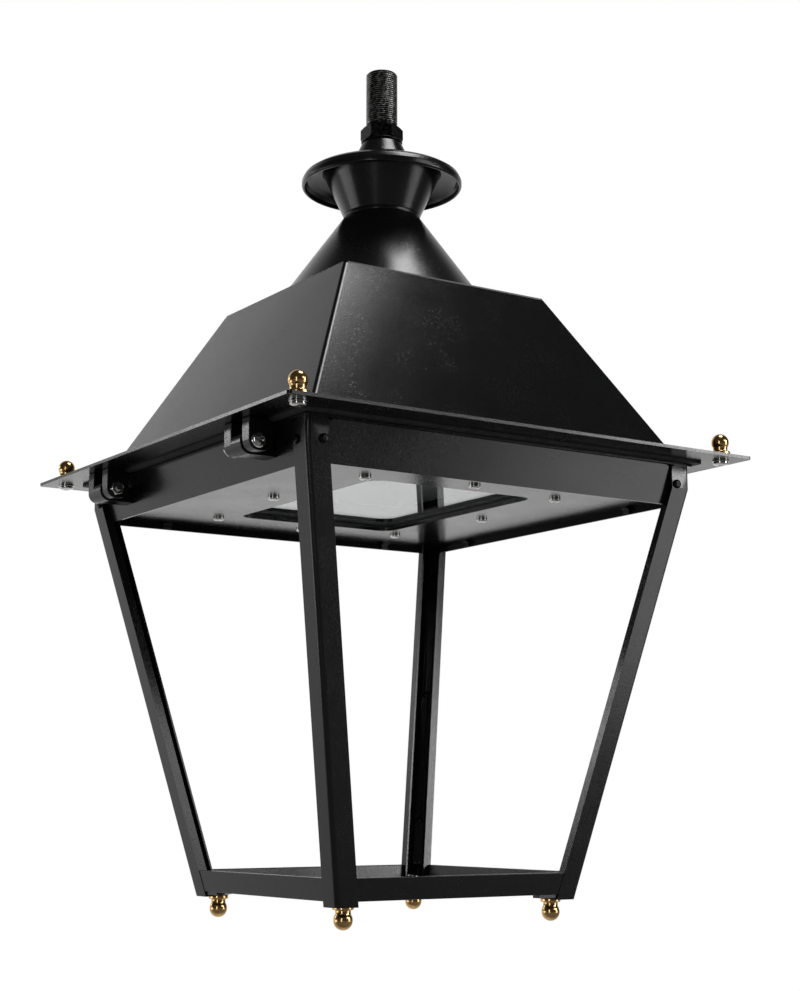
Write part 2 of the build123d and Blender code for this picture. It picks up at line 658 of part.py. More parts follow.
def make_front_hinge():
    """Pieces of the front hinge: ears, knuckle, bolt and nut."""
    middle = -HINGE_Y
    gap_low = middle - EAR_GAP / 2
    gap_high = middle + EAR_GAP / 2
    ears = [make_ear(gap_low - EAR_THICK), make_ear(gap_high)]
    y0 = middle - KNUCKLE_WIDTH / 2
    y1 = middle + KNUCKLE_WIDTH / 2
    barrel = bolt_hole(KNUCKLE_R, y0, y1)
    web = block(HINGE_X, -150, y0, y1, HINGE_Z - KNUCKLE_R, HINGE_Z + 4.5)
    knuckle = (barrel + web) - leaning_core(SKIRT_INSET) - bolt_hole(M6_R + BOLT_RUN, y0, y1)
    seat = gap_low - EAR_THICK
    grip = 2 * EAR_THICK + EAR_GAP
    place = Location((HINGE_X, seat, HINGE_Z)) * Rot(-90, 0, 0)
    bolt = place * pan_head(M6_HEAD_R, M6_HEAD, M6_R, grip + HINGE_NUT + 1.6)
    nut = hexagon(HINGE_NUT_FLATS, 0, HINGE_NUT, 15) - disc(M6_R, 0, HINGE_NUT)
    nut = Location((HINGE_X, seat + grip, HINGE_Z)) * Rot(-90, 0, 0) * nut
    return ears, knuckle, bolt, nut


def both_hinges(shape):
    """The same piece on the front and the back hinge."""
    return [shape, mirror(shape, about=Plane.XZ)]


def make_latch():
    """Captive thumbscrew: lug on the right skirt, boss under the brim, screw and its retaining ring."""
    brim_low = -BRIM_THICK / 2
    low = LUG_TOP - LUG_THICK
    lug = block(150, LATCH_X + 11, -LUG_WIDTH / 2, LUG_WIDTH / 2, low, LUG_TOP)
    web = block(150, LATCH_X - 10.5, -LUG_WIDTH / 2, -LUG_WIDTH / 2 + 3, -30, low)
    lug += web + mirror(web, about=Plane.XZ)
    lug = lug - leaning_core(SKIRT_INSET) - disc(LATCH_R + 0.3, low, LUG_TOP, LATCH_X, 0)
    boss_low = brim_low - 3.2
    boss = disc(LATCH_BOSS_R, boss_low, brim_low, LATCH_X, 0)
    boss -= disc(LATCH_R + 0.7, boss_low, brim_low, LATCH_X, 0)
    head = disc(LATCH_HEAD_R, low - LATCH_HEAD, low - 1.2, LATCH_X, 0)
    head += disc(5.0, low - 1.2, low, LATCH_X, 0)
    head = chamfer(head.edges().filter_by(GeomType.CIRCLE).group_by(SortBy.RADIUS)[-1], 0.8)
    screw = head + disc(LATCH_R, low, LATCH_TIP - 0.8, LATCH_X, 0)
    tip_low = LATCH_TIP - 0.8
    tip = spun((0, tip_low), (LATCH_R, tip_low), (LATCH_R - 0.8, LATCH_TIP), (0, LATCH_TIP))
    screw += Pos(LATCH_X, 0, 0) * tip
    ring_low = LATCH_CLIP_TOP - 1.0
    ring = disc(5.0, ring_low, LATCH_CLIP_TOP, LATCH_X, 0)
    ring -= disc(LATCH_R + 0.03, ring_low, LATCH_CLIP_TOP, LATCH_X, 0)
    return lug, boss, screw, ring


# ---------------------------------------------------------------- gear inside the roof
def make_tray():
    """Sheet that carries the gear, and the four angles that stand it on the brim."""
    foot = BRIM_THICK / 2
    level = TRAY_LEVEL
    tray = slab(TRAY_HALF, TRAY_HALF, 6, level, level + PANEL)
    angle = block(144, 155, -16, 16, level - PANEL, level) + block(153, 155, -16, 16, foot, level)
    angle += block(153, 165, -16, 16, foot, foot + PANEL)
    return tray, group(four_turns(angle))


def make_light_engine():
    """Heat sink, board, lens plate and reflector stacked on the tray."""
    level = TRAY_LEVEL
    base = level + PANEL
    half_x, half_y = HEAT_SINK_HALF
    sink = block(-half_x, half_x, -half_y, half_y, base, base + 5)
    for i in range(FINS):
        x = -half_x + 1.5 + i * (2 * half_x - 3) / (FINS - 1)
        sink += block(x - 1.5, x + 1.5, -half_y, half_y, base + 5, base + 5 + FIN_HEIGHT)
    bx, by = BOARD_HALF
    board = block(-bx, bx, -by, by, level - 1.6, level)
    lens_low = level - 4.1
    lens = block(-bx, bx, -by, by, lens_low, level - 1.6)
    for i in range(LENS_COLUMNS):
        for j in range(LENS_ROWS):
            x = (i - (LENS_COLUMNS - 1) / 2) * LENS_PITCH
            y = (j - (LENS_ROWS - 1) / 2) * LENS_PITCH
            dome = Pos(x, y, lens_low + 3.0) * Sphere(LENS_R)
            lens += dome & disc(LENS_R, lens_low - 8, lens_low, x, y)
    mouth = Pos(0, 0, 2.0)
    throat = Pos(0, 0, level)
    outer = loft([mouth * Rectangle(210, 262), throat * Rectangle(2 * bx + 8, 2 * by + 8)], ruled=True)
    inner = loft([mouth * Rectangle(207, 259), throat * Rectangle(2 * bx + 5, 2 * by + 5)], ruled=True)
    return sink, board, lens, outer - inner


def make_gear():
    """Driver, surge protector, terminal block, cable clamp and earth stud on the tray."""
    base = TRAY_LEVEL + PANEL
    driver = block(82, 130, -72, 72, base, base + 27)
    driver = chamfer(driver.edges().filter_by(Axis.Y), 1.5)
    surge = fillet(block(-130, -92, -62, -12, base, base + 22).edges().filter_by(Axis.Z), 3)
    terminal = block(-126, -96, 4, 70, base, base + 9) + block(-120, -102, 4, 70, base + 9, base + 18)
    for i in range(3):
        terminal -= disc(2.6, base + 11, base + 18, -111, 15 + i * 22)
    clamp = block(-130, -92, 88, 100, base, base + 3) + block(-130, -122, 88, 100, base + 3, base + 9)
    clamp += block(-100, -92, 88, 100, base + 3, base + 9) + block(-130, -92, 88, 100, base + 9, base + 12)
    stud = disc(2.5, base, base + 15, -108, -92) + Pos(-108, -92, 0) * hexagon(8, base, base + 4)
    return driver, surge, terminal, clamp, stud


# ---------------------------------------------------------------- build and write
def build():
    upper, inner, washer = make_lock_nuts()
    cone, neck = make_chimney()
    brim, top = make_roof_plates()
    upper_balls, upper_screws = make_upper_finials()
    lower_balls, lower_screws = make_lower_finials()
    gussets, straps = make_gussets()
    parts.update(threaded_nipple=make_nipple(), lock_nut=upper, inner_lock_nut=inner, nut_washer=washer,
                 cap_disc=make_cap_disc(), cap_funnel=make_funnel(), chimney_cone=cone, neck_plate=neck,
                 roof_shell=make_roof_shell(), roof_brim=brim, roof_top_plate=top,
                 roof_gasket=make_roof_gasket(),
                 upper_finials=upper_balls, upper_finial_screws=upper_screws,
                 cage_flange=make_flange(), post_screws=make_post_screws(), plate_clips=make_plate_clips(),
                 corner_gussets=gussets, ring_straps=straps,
                 lower_finials=lower_balls, lower_finial_screws=lower_screws)
    frame, gasket, glass, clamp, screws = make_glazing()
    parts.update(window_plate=make_plate(), window_frame=frame, window_gasket=gasket, window_glass=glass,
                 glass_clamp=clamp, plate_screws=screws)
    ears, knuckle, bolt, nut = make_front_hinge()
    parts.update(hinge_ears=group([twin for ear in ears for twin in both_hinges(ear)]),
                 hinge_knuckles=group(both_hinges(knuckle)), hinge_bolts=group(both_hinges(bolt)),
                 hinge_nuts=group(both_hinges(nut)))
    lug, boss, thumbscrew, ring = make_latch()
    parts.update(latch_lug=lug, latch_boss=boss, thumbscrew=thumbscrew, thumbscrew_ring=ring)
    tray, angles = make_tray()
    sink, board, lens, reflector = make_light_engine()
    driver, surge, terminal, clamp, stud = make_gear()
    parts.update(gear_tray=tray, tray_angles=angles, heat_sink=sink, led_board=board, lens_plate=lens,
                 reflector=reflector, led_driver=driver, surge_protector=surge, terminal_block=terminal,
                 cable_clamp=clamp, earth_stud=stud)
    parts.update(post_liners=group(four_turns(make_liner())), liner_screws=make_liner_screws())
    for index, side in enumerate(("back", "left", "front", "right")):
        turn = Rot(0, 0, 90 * index)
        parts["skirt_" + side] = turn * make_skirt()
        parts["ring_bar_" + side] = turn * make_ring_bar()
    for index, corner in enumerate(("back_right", "back_left", "front_left", "front_right")):
        parts["post_" + corner] = Rot(0, 0, 90 * index) * make_post()


def write():
    os.makedirs("parts", exist_ok=True)
    for old in os.listdir("parts"):
        os.remove(os.path.join("parts", old))
    for name, shape in parts.items():
        export_step(Pos(0, 0, -SEAT_HEIGHT) * shape, os.path.join("parts", name + ".step"))
    print(len(parts), "parts written")


build()
write()
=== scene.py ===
# %% [markdown]
# # A hanging square lantern
# The real lantern is folded from sheet steel and powder coated black. Its roof hangs from a
# threaded nipple, and an open frame of four posts swings down from it on two hinges.
# The engineering model gives every piece its place and size, so the lesson starts by loading
# it. Flat sheets are kept and get soft edges; turned, threaded and recessed pieces are built
# again here with finer shapes than the engineering model needs.

# %% Load the engineering model
import bmesh
import bpy
import json
import math
from mathutils import Matrix, Vector


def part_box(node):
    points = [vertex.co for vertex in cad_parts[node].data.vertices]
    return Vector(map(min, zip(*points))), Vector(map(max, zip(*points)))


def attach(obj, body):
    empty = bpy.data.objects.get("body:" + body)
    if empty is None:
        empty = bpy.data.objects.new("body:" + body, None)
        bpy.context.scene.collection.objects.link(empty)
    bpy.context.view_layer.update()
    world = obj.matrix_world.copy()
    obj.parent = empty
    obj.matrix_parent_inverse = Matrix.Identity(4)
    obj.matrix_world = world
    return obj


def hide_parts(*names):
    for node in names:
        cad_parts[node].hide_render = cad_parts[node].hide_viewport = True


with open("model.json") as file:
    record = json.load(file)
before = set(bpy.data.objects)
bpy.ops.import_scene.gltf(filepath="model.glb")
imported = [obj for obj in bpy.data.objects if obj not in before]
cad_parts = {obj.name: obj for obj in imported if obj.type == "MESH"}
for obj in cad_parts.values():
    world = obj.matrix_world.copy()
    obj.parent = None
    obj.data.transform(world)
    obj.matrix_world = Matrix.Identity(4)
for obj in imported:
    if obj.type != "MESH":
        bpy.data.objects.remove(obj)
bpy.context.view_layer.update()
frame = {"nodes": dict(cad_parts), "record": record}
nodes = frame["nodes"]
print("pieces in the engineering model:", len(nodes))

# %% [markdown]
# ## Working sizes
# Drawings of sheet work are in millimetres, and Blender counts in metres. The pieces below
# are drawn in millimetres with heights taken from the middle of the brim, the widest level
# of the lantern. One small function then moves them to where the model has its zero, the
# top face of the lock nut, and turns them into metres.

# %% Units and zero level
MM = 0.001
BRIM_TO_NUT = 294.6
SETTLE = Matrix.Scale(MM, 4) @ Matrix.Translation((0, 0, -BRIM_TO_NUT))


def size_of(node):
    """Size of an engineering piece in millimetres."""
    low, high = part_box(node)
    return [round((high[i] - low[i]) / MM, 1) for i in range(3)]


print("brim, mm:", size_of("roof_brim"))
print("front post, mm:", size_of("post_front_left"))

# %% [markdown]
# ## Small tools for shader nodes
# A finish is a network of nodes, and short functions keep the networks readable. One makes a
# material and one adds a node. One gives soft noise in the piece's own coordinates, so that
# the grain stays on the piece when the frame swings. The others stretch a range of numbers,
# combine two streams of numbers, and make colours from a mask.

# %% Materials, nodes and noise
def new_finish(name):
    """Empty material and its two main parts: the node tree and the Principled shader."""
    finish = bpy.data.materials.new(name)
    finish.use_nodes = True
    tree = finish.node_tree
    return finish, tree, tree.nodes["Principled BSDF"]


def add(tree, kind, sockets=None, **options):
    """Adds a shader node and fills in its sockets and options."""
    node = tree.nodes.new("ShaderNode" + kind)
    for key, value in options.items():
        setattr(node, key, value)
    for key, value in (sockets or {}).items():
        node.inputs[key].default_value = value
    return node


def noise(tree, scale, detail=2.0, stretch=(1, 1, 1)):
    """Soft noise from 0 to 1, fixed to the piece."""
    place = add(tree, "TexCoord")
    mapping = add(tree, "Mapping", {"Scale": stretch})
    texture = add(tree, "TexNoise", {"Scale": scale, "Detail": detail})
    tree.links.new(place.outputs["Object"], mapping.inputs["Vector"])
    tree.links.new(mapping.outputs["Vector"], texture.inputs["Vector"])
    return texture.outputs["Fac"]


print("materials before the first finish:", len(bpy.data.materials))


# %% Numbers and colours from a mask
NOISE_LOW = 0.3    # most values of a noise lie between these two
NOISE_HIGH = 0.7
COLOUR_UNDER = 6   # colour sockets of the Mix node, which has sockets of every kind
COLOUR_OVER = 7
MIXED_COLOUR = 2


def stretch_range(tree, source, old_low, old_high, new_low, new_high):
    """Maps one range of numbers to another."""
    node = add(tree, "MapRange", {"From Min": old_low, "From Max": old_high,
                                  "To Min": new_low, "To Max": new_high})
    tree.links.new(source, node.inputs["Value"])
    return node.outputs["Result"]


def from_noise(tree, texture, low, high):
    """Maps the usual range of a noise to low ... high."""
    return stretch_range(tree, texture, NOISE_LOW, NOISE_HIGH, low, high)


def scaled(tree, mask, top):
    """Maps a mask from 0 ... 1 to 0 ... top."""
    return stretch_range(tree, mask, 0.0, 1.0, 0.0, top)


def combine(tree, first, second, operation="ADD"):
    """One stream of numbers from two, added unless another operation is named."""
    node = add(tree, "Math", operation=operation)
    tree.links.new(first, node.inputs[0])
    tree.links.new(second, node.inputs[1])
    return node.outputs["Value"]


def two_colours(tree, mask, under, over):
    """Colour that goes from under to over as the mask goes from 0 to 1."""
    ramp = add(tree, "ValToRGB")
    ramp.color_ramp.elements[0].color = (*under, 1)
    ramp.color_ramp.elements[1].color = (*over, 1)
    tree.links.new(mask, ramp.inputs["Fac"])
    return ramp.outputs["Color"]


def lay_over(tree, mask, under, over):
    """Lays one plain colour over a coloured stream where the mask is 1."""
    mix = add(tree, "Mix", data_type="RGBA")
    tree.links.new(mask, mix.inputs["Factor"])
    tree.links.new(under, mix.inputs[COLOUR_UNDER])
    mix.inputs[COLOUR_OVER].default_value = (*over, 1)
    return mix.outputs[MIXED_COLOUR]


print("noises are read between", NOISE_LOW, "and", NOISE_HIGH)

# %% [markdown]
# ## Worn edges and painted highlights
# On a used piece the sharp edges are rubbed first, and on the black coat the same mask
# lightens the edges as a painted highlight, in place of the light that a rounded edge
# catches. The Bevel node gives the normal that an edge would have if it were rounded. Where
# it differs from the true normal there is an edge, so their dot product makes a mask of the
# edges that also works on a coarse mesh.

# %% Edge mask and bump
FLAT = 0.995    # agreement of the two normals where the mask is still 0
SHARP = 0.80    # and where it reaches 1


def wear_and_sheen_edges(tree, radius):
    """Near 1 along sharp edges and 0 on flat faces."""
    rounded = add(tree, "Bevel", {"Radius": radius}, samples=4)
    true = add(tree, "NewGeometry")
    agree = add(tree, "VectorMath", operation="DOT_PRODUCT")
    tree.links.new(rounded.outputs["Normal"], agree.inputs[0])
    tree.links.new(true.outputs["Normal"], agree.inputs[1])
    return stretch_range(tree, agree.outputs["Value"], FLAT, SHARP, 0.0, 1.0)


def bumpy(tree, skin, height, depth, strength=1.0):
    """Fine relief on a finish."""
    bump = add(tree, "Bump", {"Distance": depth, "Strength": strength})
    tree.links.new(height, bump.inputs["Height"])
    tree.links.new(bump.outputs["Normal"], skin.inputs["Normal"])


print("edge mask ready")

# %% [markdown]
# ## Black powder coat
# The roof, cap and frame carry a satin black powder coat. Powder melts into a skin with a
# fine grain, less than a millimetre across, and it levels a little unevenly, so some areas
# are glossier than others. The grain is a shallow bump, the uneven levelling is a slow
# change of roughness, and the edges get a smoother skin and a lighter colour, which is a
# painted highlight along the folds and cut edges.

# %% Powder coat
COAT_DEEP = (0.0022, 0.0023, 0.0026)
COAT_PALE = (0.0052, 0.0054, 0.0060)
# lighter colour for the edges: a painted highlight on the folds and cut edges
COAT_EDGE_HIGHLIGHT = (0.016, 0.016, 0.017)
GRAIN_DEPTH = 0.16 * MM


def powder_coat():
    """Satin black skin: grain in colour, gloss and relief, smoother along the edges, which are
    lighter as a painted highlight.
    """
    finish, tree, skin = new_finish("black_powder_coat")
    grain = noise(tree, 820, 3.0)
    levelling = noise(tree, 26, 4.0)
    edge_sheen_and_wear = wear_and_sheen_edges(tree, 0.7 * MM)
    tint = two_colours(tree, from_noise(tree, grain, 0.0, 1.0), COAT_DEEP, COAT_PALE)
    # painted highlight: the edges are laid over in a lighter colour
    tree.links.new(lay_over(tree, edge_sheen_and_wear, tint, COAT_EDGE_HIGHLIGHT), skin.inputs["Base Color"])
    gloss = from_noise(tree, levelling, 0.18, 0.24)
    gloss = combine(tree, gloss, from_noise(tree, grain, -0.06, 0.06))
    gloss = combine(tree, gloss, scaled(tree, edge_sheen_and_wear, -0.06))
    tree.links.new(gloss, skin.inputs["Roughness"])
    bumpy(tree, skin, grain, GRAIN_DEPTH, 0.40)
    return finish


coat = powder_coat()
print("powder coat nodes:", len(coat.node_tree.nodes))

# %% [markdown]
# ## Bare and blackened metals
# The nipple, the nuts and the small frame screws are blackened steel: dark, a little shiny,
# and rubbed along the edges. The nipple's thread is rubbed bare on its crests, in patches,
# wherever a nut has run over it. The finial screws, plate screws and hinge bolts are bright
# stainless steel. The tray inside is zinc-plated, which shows as grey patches with different
# gloss, called spangle.

# %% Blackened steel
OXIDE_DEEP = (0.006, 0.006, 0.0065)
OXIDE_PALE = (0.034, 0.033, 0.032)
RUBBED_EDGE = (0.20, 0.195, 0.19)
RUBBED_CREST = (0.42, 0.41, 0.40)


def crest_mask(tree, low, high):
    """0 below one distance from the axis and 1 beyond another: the crests of a thread."""
    place = add(tree, "TexCoord")
    across = add(tree, "VectorMath", {1: (1, 1, 0)}, operation="MULTIPLY")
    reach = add(tree, "VectorMath", operation="LENGTH")
    tree.links.new(place.outputs["Object"], across.inputs[0])
    tree.links.new(across.outputs["Vector"], reach.inputs[0])
    return stretch_range(tree, reach.outputs["Value"], low, high, 0.0, 1.0)


def blackened_steel(name="blackened_steel", crests=None):
    """Dark oxide finish; with crests given, the thread beyond that radius is rubbed bare."""
    finish, tree, skin = new_finish(name)
    skin.inputs["Metallic"].default_value = 1.0
    stain = noise(tree, 420, 5.0)
    fine = noise(tree, 2600, 2.0)
    oxide = stretch_range(tree, stain, 0.35, 0.68, 0, 1)
    base = two_colours(tree, oxide, OXIDE_DEEP, OXIDE_PALE)
    if crests:
        patchy = stretch_range(tree, stain, 0.40, 0.62, 0.25, 1.0)
        bare = combine(tree, crest_mask(tree, *crests), patchy, "MULTIPLY")
        metal = lay_over(tree, bare, base, RUBBED_CREST)
    else:
        edge_sheen_and_wear = wear_and_sheen_edges(tree, 0.35 * MM)
        metal = lay_over(tree, scaled(tree, edge_sheen_and_wear, 0.55), base, RUBBED_EDGE)
    tree.links.new(metal, skin.inputs["Base Color"])
    tree.links.new(from_noise(tree, stain, 0.26, 0.42), skin.inputs["Roughness"])
    bumpy(tree, skin, fine, 0.06 * MM, 0.35)
    return finish


black_steel = blackened_steel()
thread_steel = blackened_steel("rubbed_thread_steel", (12.70 * MM, 13.15 * MM))
print("blackened steels:", black_steel.name, thread_steel.name)


# %% Bright steel, zinc and aluminium
def bright_metal(name, dark, light, rough_low, rough_high, scale, depth=0.03 * MM):
    """Bare metal whose tone and gloss wander a little, with fine marks left by its making."""
    finish, tree, skin = new_finish(name)
    skin.inputs["Metallic"].default_value = 1.0
    patches = noise(tree, scale, 4.0)
    marks = noise(tree, scale * 12, 2.0)
    edge_sheen_and_wear = wear_and_sheen_edges(tree, 0.4 * MM)
    tone = two_colours(tree, from_noise(tree, patches, 0, 1), dark, light)
    tree.links.new(tone, skin.inputs["Base Color"])
    gloss = from_noise(tree, patches, rough_low, rough_high)
    polish = scaled(tree, edge_sheen_and_wear, -0.5 * rough_low)
    tree.links.new(combine(tree, gloss, polish), skin.inputs["Roughness"])
    bumpy(tree, skin, marks, depth, 0.3)
    return finish


stainless = bright_metal("bright_stainless", (0.66, 0.65, 0.63), (0.84, 0.83, 0.81),
                         0.07, 0.14, 160)
zinc = bright_metal("zinc_plate", (0.42, 0.43, 0.45), (0.60, 0.61, 0.62), 0.30, 0.46, 60)
aluminium = bright_metal("cast_aluminium", (0.48, 0.49, 0.50), (0.62, 0.63, 0.64),
                         0.42, 0.58, 240, 0.1 * MM)
print("bright metals:", stainless.name, zinc.name, aluminium.name)

# %% [markdown]
# ## Satin brass
# The eight ball finials are turned brass with a satin lacquer. Turning leaves fine rings
# round the axis, so the noise is squeezed in height and stretched round the ball, and the
# tone wanders from lemon to a warmer gold where the lacquer is thicker.

# %% Brass
BRASS_WARM = (0.74, 0.45, 0.17)
BRASS_LEMON = (0.86, 0.58, 0.27)
TURNING = (0.15, 0.15, 9.0)     # stretches a noise into rings round the axis


def satin_brass():
    """Warm metal with fine turned rings and a slightly cloudy tone."""
    finish, tree, skin = new_finish("satin_brass")
    skin.inputs["Metallic"].default_value = 1.0
    rings = noise(tree, 300, 2.0, TURNING)
    cloudy = noise(tree, 130, 3.0)
    edge_sheen_and_wear = wear_and_sheen_edges(tree, 0.4 * MM)
    tone = two_colours(tree, from_noise(tree, cloudy, 0, 1), BRASS_WARM, BRASS_LEMON)
    tree.links.new(tone, skin.inputs["Base Color"])
    gloss = combine(tree, from_noise(tree, rings, 0.13, 0.22), scaled(tree, edge_sheen_and_wear, -0.06))
    tree.links.new(gloss, skin.inputs["Roughness"])
    bumpy(tree, skin, rings, 0.04 * MM, 0.3)
    return finish


brass = satin_brass()
print("brass nodes:", len(brass.node_tree.nodes))

# %% [markdown]
# ## Glass, rubber, plastics and enamel
# The window is a flat pane of toughened glass. Seen at a low angle it mirrors the room, which
# is just what the Principled shader's transmission does by Fresnel's law, so it only needs a
# faint film of dust on top. The gaskets are matt rubber. The gear inside the roof has moulded
# plastic cases, a white circuit board, clear lenses and a white enamelled reflector.

# %% Window glass and clear lenses
def clear_pane(name, tint, index, rough_low, rough_high):
    """Clear solid with a slight ripple and a film of dust that dulls it in places."""
    finish, tree, skin = new_finish(name)
    skin.inputs["Base Color"].default_value = (*tint, 1)
    skin.inputs["IOR"].default_value = index
    skin.inputs["Transmission Weight"].default_value = 1.0
    dust = noise(tree, 90, 5.0)
    ripple = noise(tree, 12, 1.0)
    dulled = stretch_range(tree, dust, 0.45, 0.8, rough_low, rough_high)
    tree.links.new(dulled, skin.inputs["Roughness"])
    bumpy(tree, skin, ripple, 0.05 * MM, 0.05)
    return finish


pane_glass = clear_pane("window_pane_glass", (0.93, 0.97, 0.955), 1.52, 0.0, 0.04)
lens_acrylic = clear_pane("lens_acrylic", (0.97, 0.98, 0.98), 1.49, 0.02, 0.08)
print("clear materials:", pane_glass.name, lens_acrylic.name)


# %% Rubber, plastics and enamel
def moulded(name, dark, light, rough_low, rough_high, scale, depth):
    """Non-metal skin with a moulded or sprayed texture."""
    finish, tree, skin = new_finish(name)
    patches = noise(tree, scale * 0.06, 4.0)
    grain = noise(tree, scale, 2.0)
    edge_sheen_and_wear = wear_and_sheen_edges(tree, 0.5 * MM)
    tone = two_colours(tree, from_noise(tree, patches, 0, 1), dark, light)
    tree.links.new(tone, skin.inputs["Base Color"])
    gloss = from_noise(tree, grain, rough_low, rough_high)
    tree.links.new(combine(tree, gloss, scaled(tree, edge_sheen_and_wear, -0.1)), skin.inputs["Roughness"])
    bumpy(tree, skin, grain, depth, 0.4)
    return finish


rubber = moulded("black_rubber", (0.010, 0.010, 0.010), (0.022, 0.022, 0.023),
                 0.62, 0.80, 1800, 0.08 * MM)
board_white = moulded("board_solder_mask", (0.78, 0.79, 0.78), (0.86, 0.87, 0.86),
                      0.34, 0.46, 900, 0.03 * MM)
enamel = moulded("reflector_enamel", (0.80, 0.80, 0.78), (0.87, 0.87, 0.85),
                 0.30, 0.42, 700, 0.04 * MM)
case_grey = moulded("gear_case", (0.62, 0.63, 0.63), (0.74, 0.75, 0.75),
                    0.48, 0.62, 1200, 0.08 * MM)
ivory = moulded("terminal_ivory", (0.68, 0.65, 0.56), (0.78, 0.76, 0.68),
                0.40, 0.52, 1200, 0.05 * MM)
phosphor = moulded("led_phosphor", (0.72, 0.55, 0.08), (0.80, 0.64, 0.14),
                   0.40, 0.50, 900, 0.03 * MM)
print("materials so far:", len(bpy.data.materials))

# %% [markdown]
# ## Turned pieces
# A lathe makes the nipple, the finials, the screws and the thumbscrew; a spinning lathe forms
# the cap and the chimney from sheet. All of them are a profile spun about an axis, so one
# function does them all. A profile is a list of (radius, height) points, and a third number
# rounds that corner. A shaping function may change the radius round the turn: that is how
# the threads and the knurl are cut.

# %% Profile with rounded corners
def rounded_profile(points, steps=5):
    """Closed profile in which each corner with a third number is a curve of about that radius."""
    result = []
    count = len(points)
    for i, point in enumerate(points):
        corner = Vector(point[:2])
        radius = point[2] if len(point) > 2 else 0.0
        if radius == 0.0:
            result.append(tuple(corner))
            continue
        before = Vector(points[i - 1][:2])
        after = Vector(points[(i + 1) % count][:2])
        to_before = before - corner
        to_after = after - corner
        bend = math.pi - to_before.angle(to_after)
        reach = radius * math.tan(bend / 2)
        reach = min(reach, 0.48 * to_before.length, 0.48 * to_after.length)
        start = corner + to_before.normalized() * reach
        end = corner + to_after.normalized() * reach
        for k in range(steps + 1):
            s = k / steps
            on_curve = start * (1 - s) ** 2 + corner * 2 * s * (1 - s) + end * s ** 2
            result.append(tuple(on_curve))
    return result


trial = rounded_profile([(1, 0, 0.1), (2, 0, 0.1), (2, 1, 0.1), (1, 1, 0.1)])
print("a square profile with rounded corners has", len(trial), "points")


# %% Profile spun into a mesh
def spin(points, columns=96, shaping=None):
    """bmesh of a profile spun about Z. Points on the axis become poles."""
    on_axis = 1e-6
    mesh = bmesh.new()
    rows = []
    for r, z in points:
        if r < on_axis:
            rows.append([mesh.verts.new((0, 0, z))])
            continue
        row = []
        for k in range(columns):
            angle = 2 * math.pi * k / columns
            radius = shaping(r, z, angle) if shaping else r
            spot = (radius * math.cos(angle), radius * math.sin(angle), z)
            row.append(mesh.verts.new(spot))
        rows.append(row)
    pairs = [(rows[i], rows[i + 1]) for i in range(len(rows) - 1)]
    if len(rows[0]) > 1 and len(rows[-1]) > 1:
        pairs.append((rows[-1], rows[0]))
    for low, high in pairs:
        if len(low) == 1 and len(high) == 1:
            continue
        for k in range(columns):
            n = (k + 1) % columns
            if len(low) == 1:
                mesh.faces.new((low[0], high[k], high[n]))
            elif len(high) == 1:
                mesh.faces.new((low[k], low[n], high[0]))
            else:
                mesh.faces.new((low[k], low[n], high[n], high[k]))
    bmesh.ops.recalc_face_normals(mesh, faces=mesh.faces[:])
    return mesh


trial = spin([(0, 0), (1, 0), (1, 1), (0, 1)], 8)
print("a rod spun in 8 columns has", len(trial.faces), "faces")
trial.free()

# %% [markdown]
# ## From mesh to piece
# Each finished mesh is settled into the model's zero and metres, shaded smooth with sharp
# folds kept, given its finish and tied to the body it moves with, and the engineering piece
# that it stands for is hidden.

# %% Finished piece
SHARP_FOLD = 35         # degrees; smaller folds are shaded smooth


def make_piece(name, mesh, finish, body, stands_for=(), sharp=SHARP_FOLD):
    """Turns a bmesh in millimetres into a finished piece that rides on a body."""
    data = bpy.data.meshes.new(name)
    mesh.transform(SETTLE)
    mesh.to_mesh(data)
    mesh.free()
    data.polygons.foreach_set("use_smooth", [True] * len(data.polygons))
    data.set_sharp_from_angle(angle=math.radians(sharp))
    data.materials.append(finish)
    piece = bpy.data.objects.new(name, data)
    bpy.context.scene.collection.objects.link(piece)
    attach(piece, body)
    if stands_for:
        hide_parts(*stands_for)
    return piece


print("folds stay sharp from, degrees:", SHARP_FOLD)


# %% Copies and their places
def copies(mesh, places):
    """One bmesh with a copy of the mesh at each place; a mirrored copy is turned right side out."""
    pattern = bpy.data.meshes.new("pattern")
    mesh.to_mesh(pattern)
    mesh.free()
    together = bmesh.new()
    for place in places:
        start = len(together.verts)
        together.from_mesh(pattern)
        together.verts.ensure_lookup_table()
        fresh = together.verts[start:]
        bmesh.ops.transform(together, matrix=place, verts=fresh)
        if place.determinant() < 0:
            owned = set(fresh)
            mirrored = [face for face in together.faces if face.verts[0] in owned]
            bmesh.ops.reverse_faces(together, faces=mirrored)
    bpy.data.meshes.remove(pattern)
    return together


def at(x, y, z):
    """Place of a copy, moved to a point."""
    return Matrix.Translation((x, y, z))


def turn(degrees, axis):
    """Place of a copy, turned about an axis."""
    return Matrix.Rotation(math.radians(degrees), 4, axis)


def four_turns(places):
    """The same places on all four sides or corners."""
    return [turn(90 * i, "Z") @ place for place in places for i in range(4)]


print("places on four corners:", len(four_turns([at(1, 1, 0)])))

# %% [markdown]
# ## The hanging thread
# The nipple is a length of pipe with a 3/4 inch gas thread: 26.44 mm across, 14 turns to the
# inch, so each turn climbs 1.814 mm. A thread could be bump only, but its outline shows
# against the backdrop, so it is cut for real: the radius depends on height and angle
# together, which makes one continuous helix. It runs out near the nut and is chamfered at
# the top, as a die leaves it.

# %% Threaded nipple
CREST = 13.2
ROOT = 12.15
PITCH = 1.814
THREAD_LOW = 298.6
THREAD_TOP = 343.2
RUN_OUT = 2.0           # length over which the thread dies away near the nut
RELIEF = 12.55          # radius of the turned relief that it dies into
THREAD_BLANK = 12.6     # rows of the profile that gas_thread gives their real radius
CHAMFER = 1.5
ROWS_A_TURN = 10


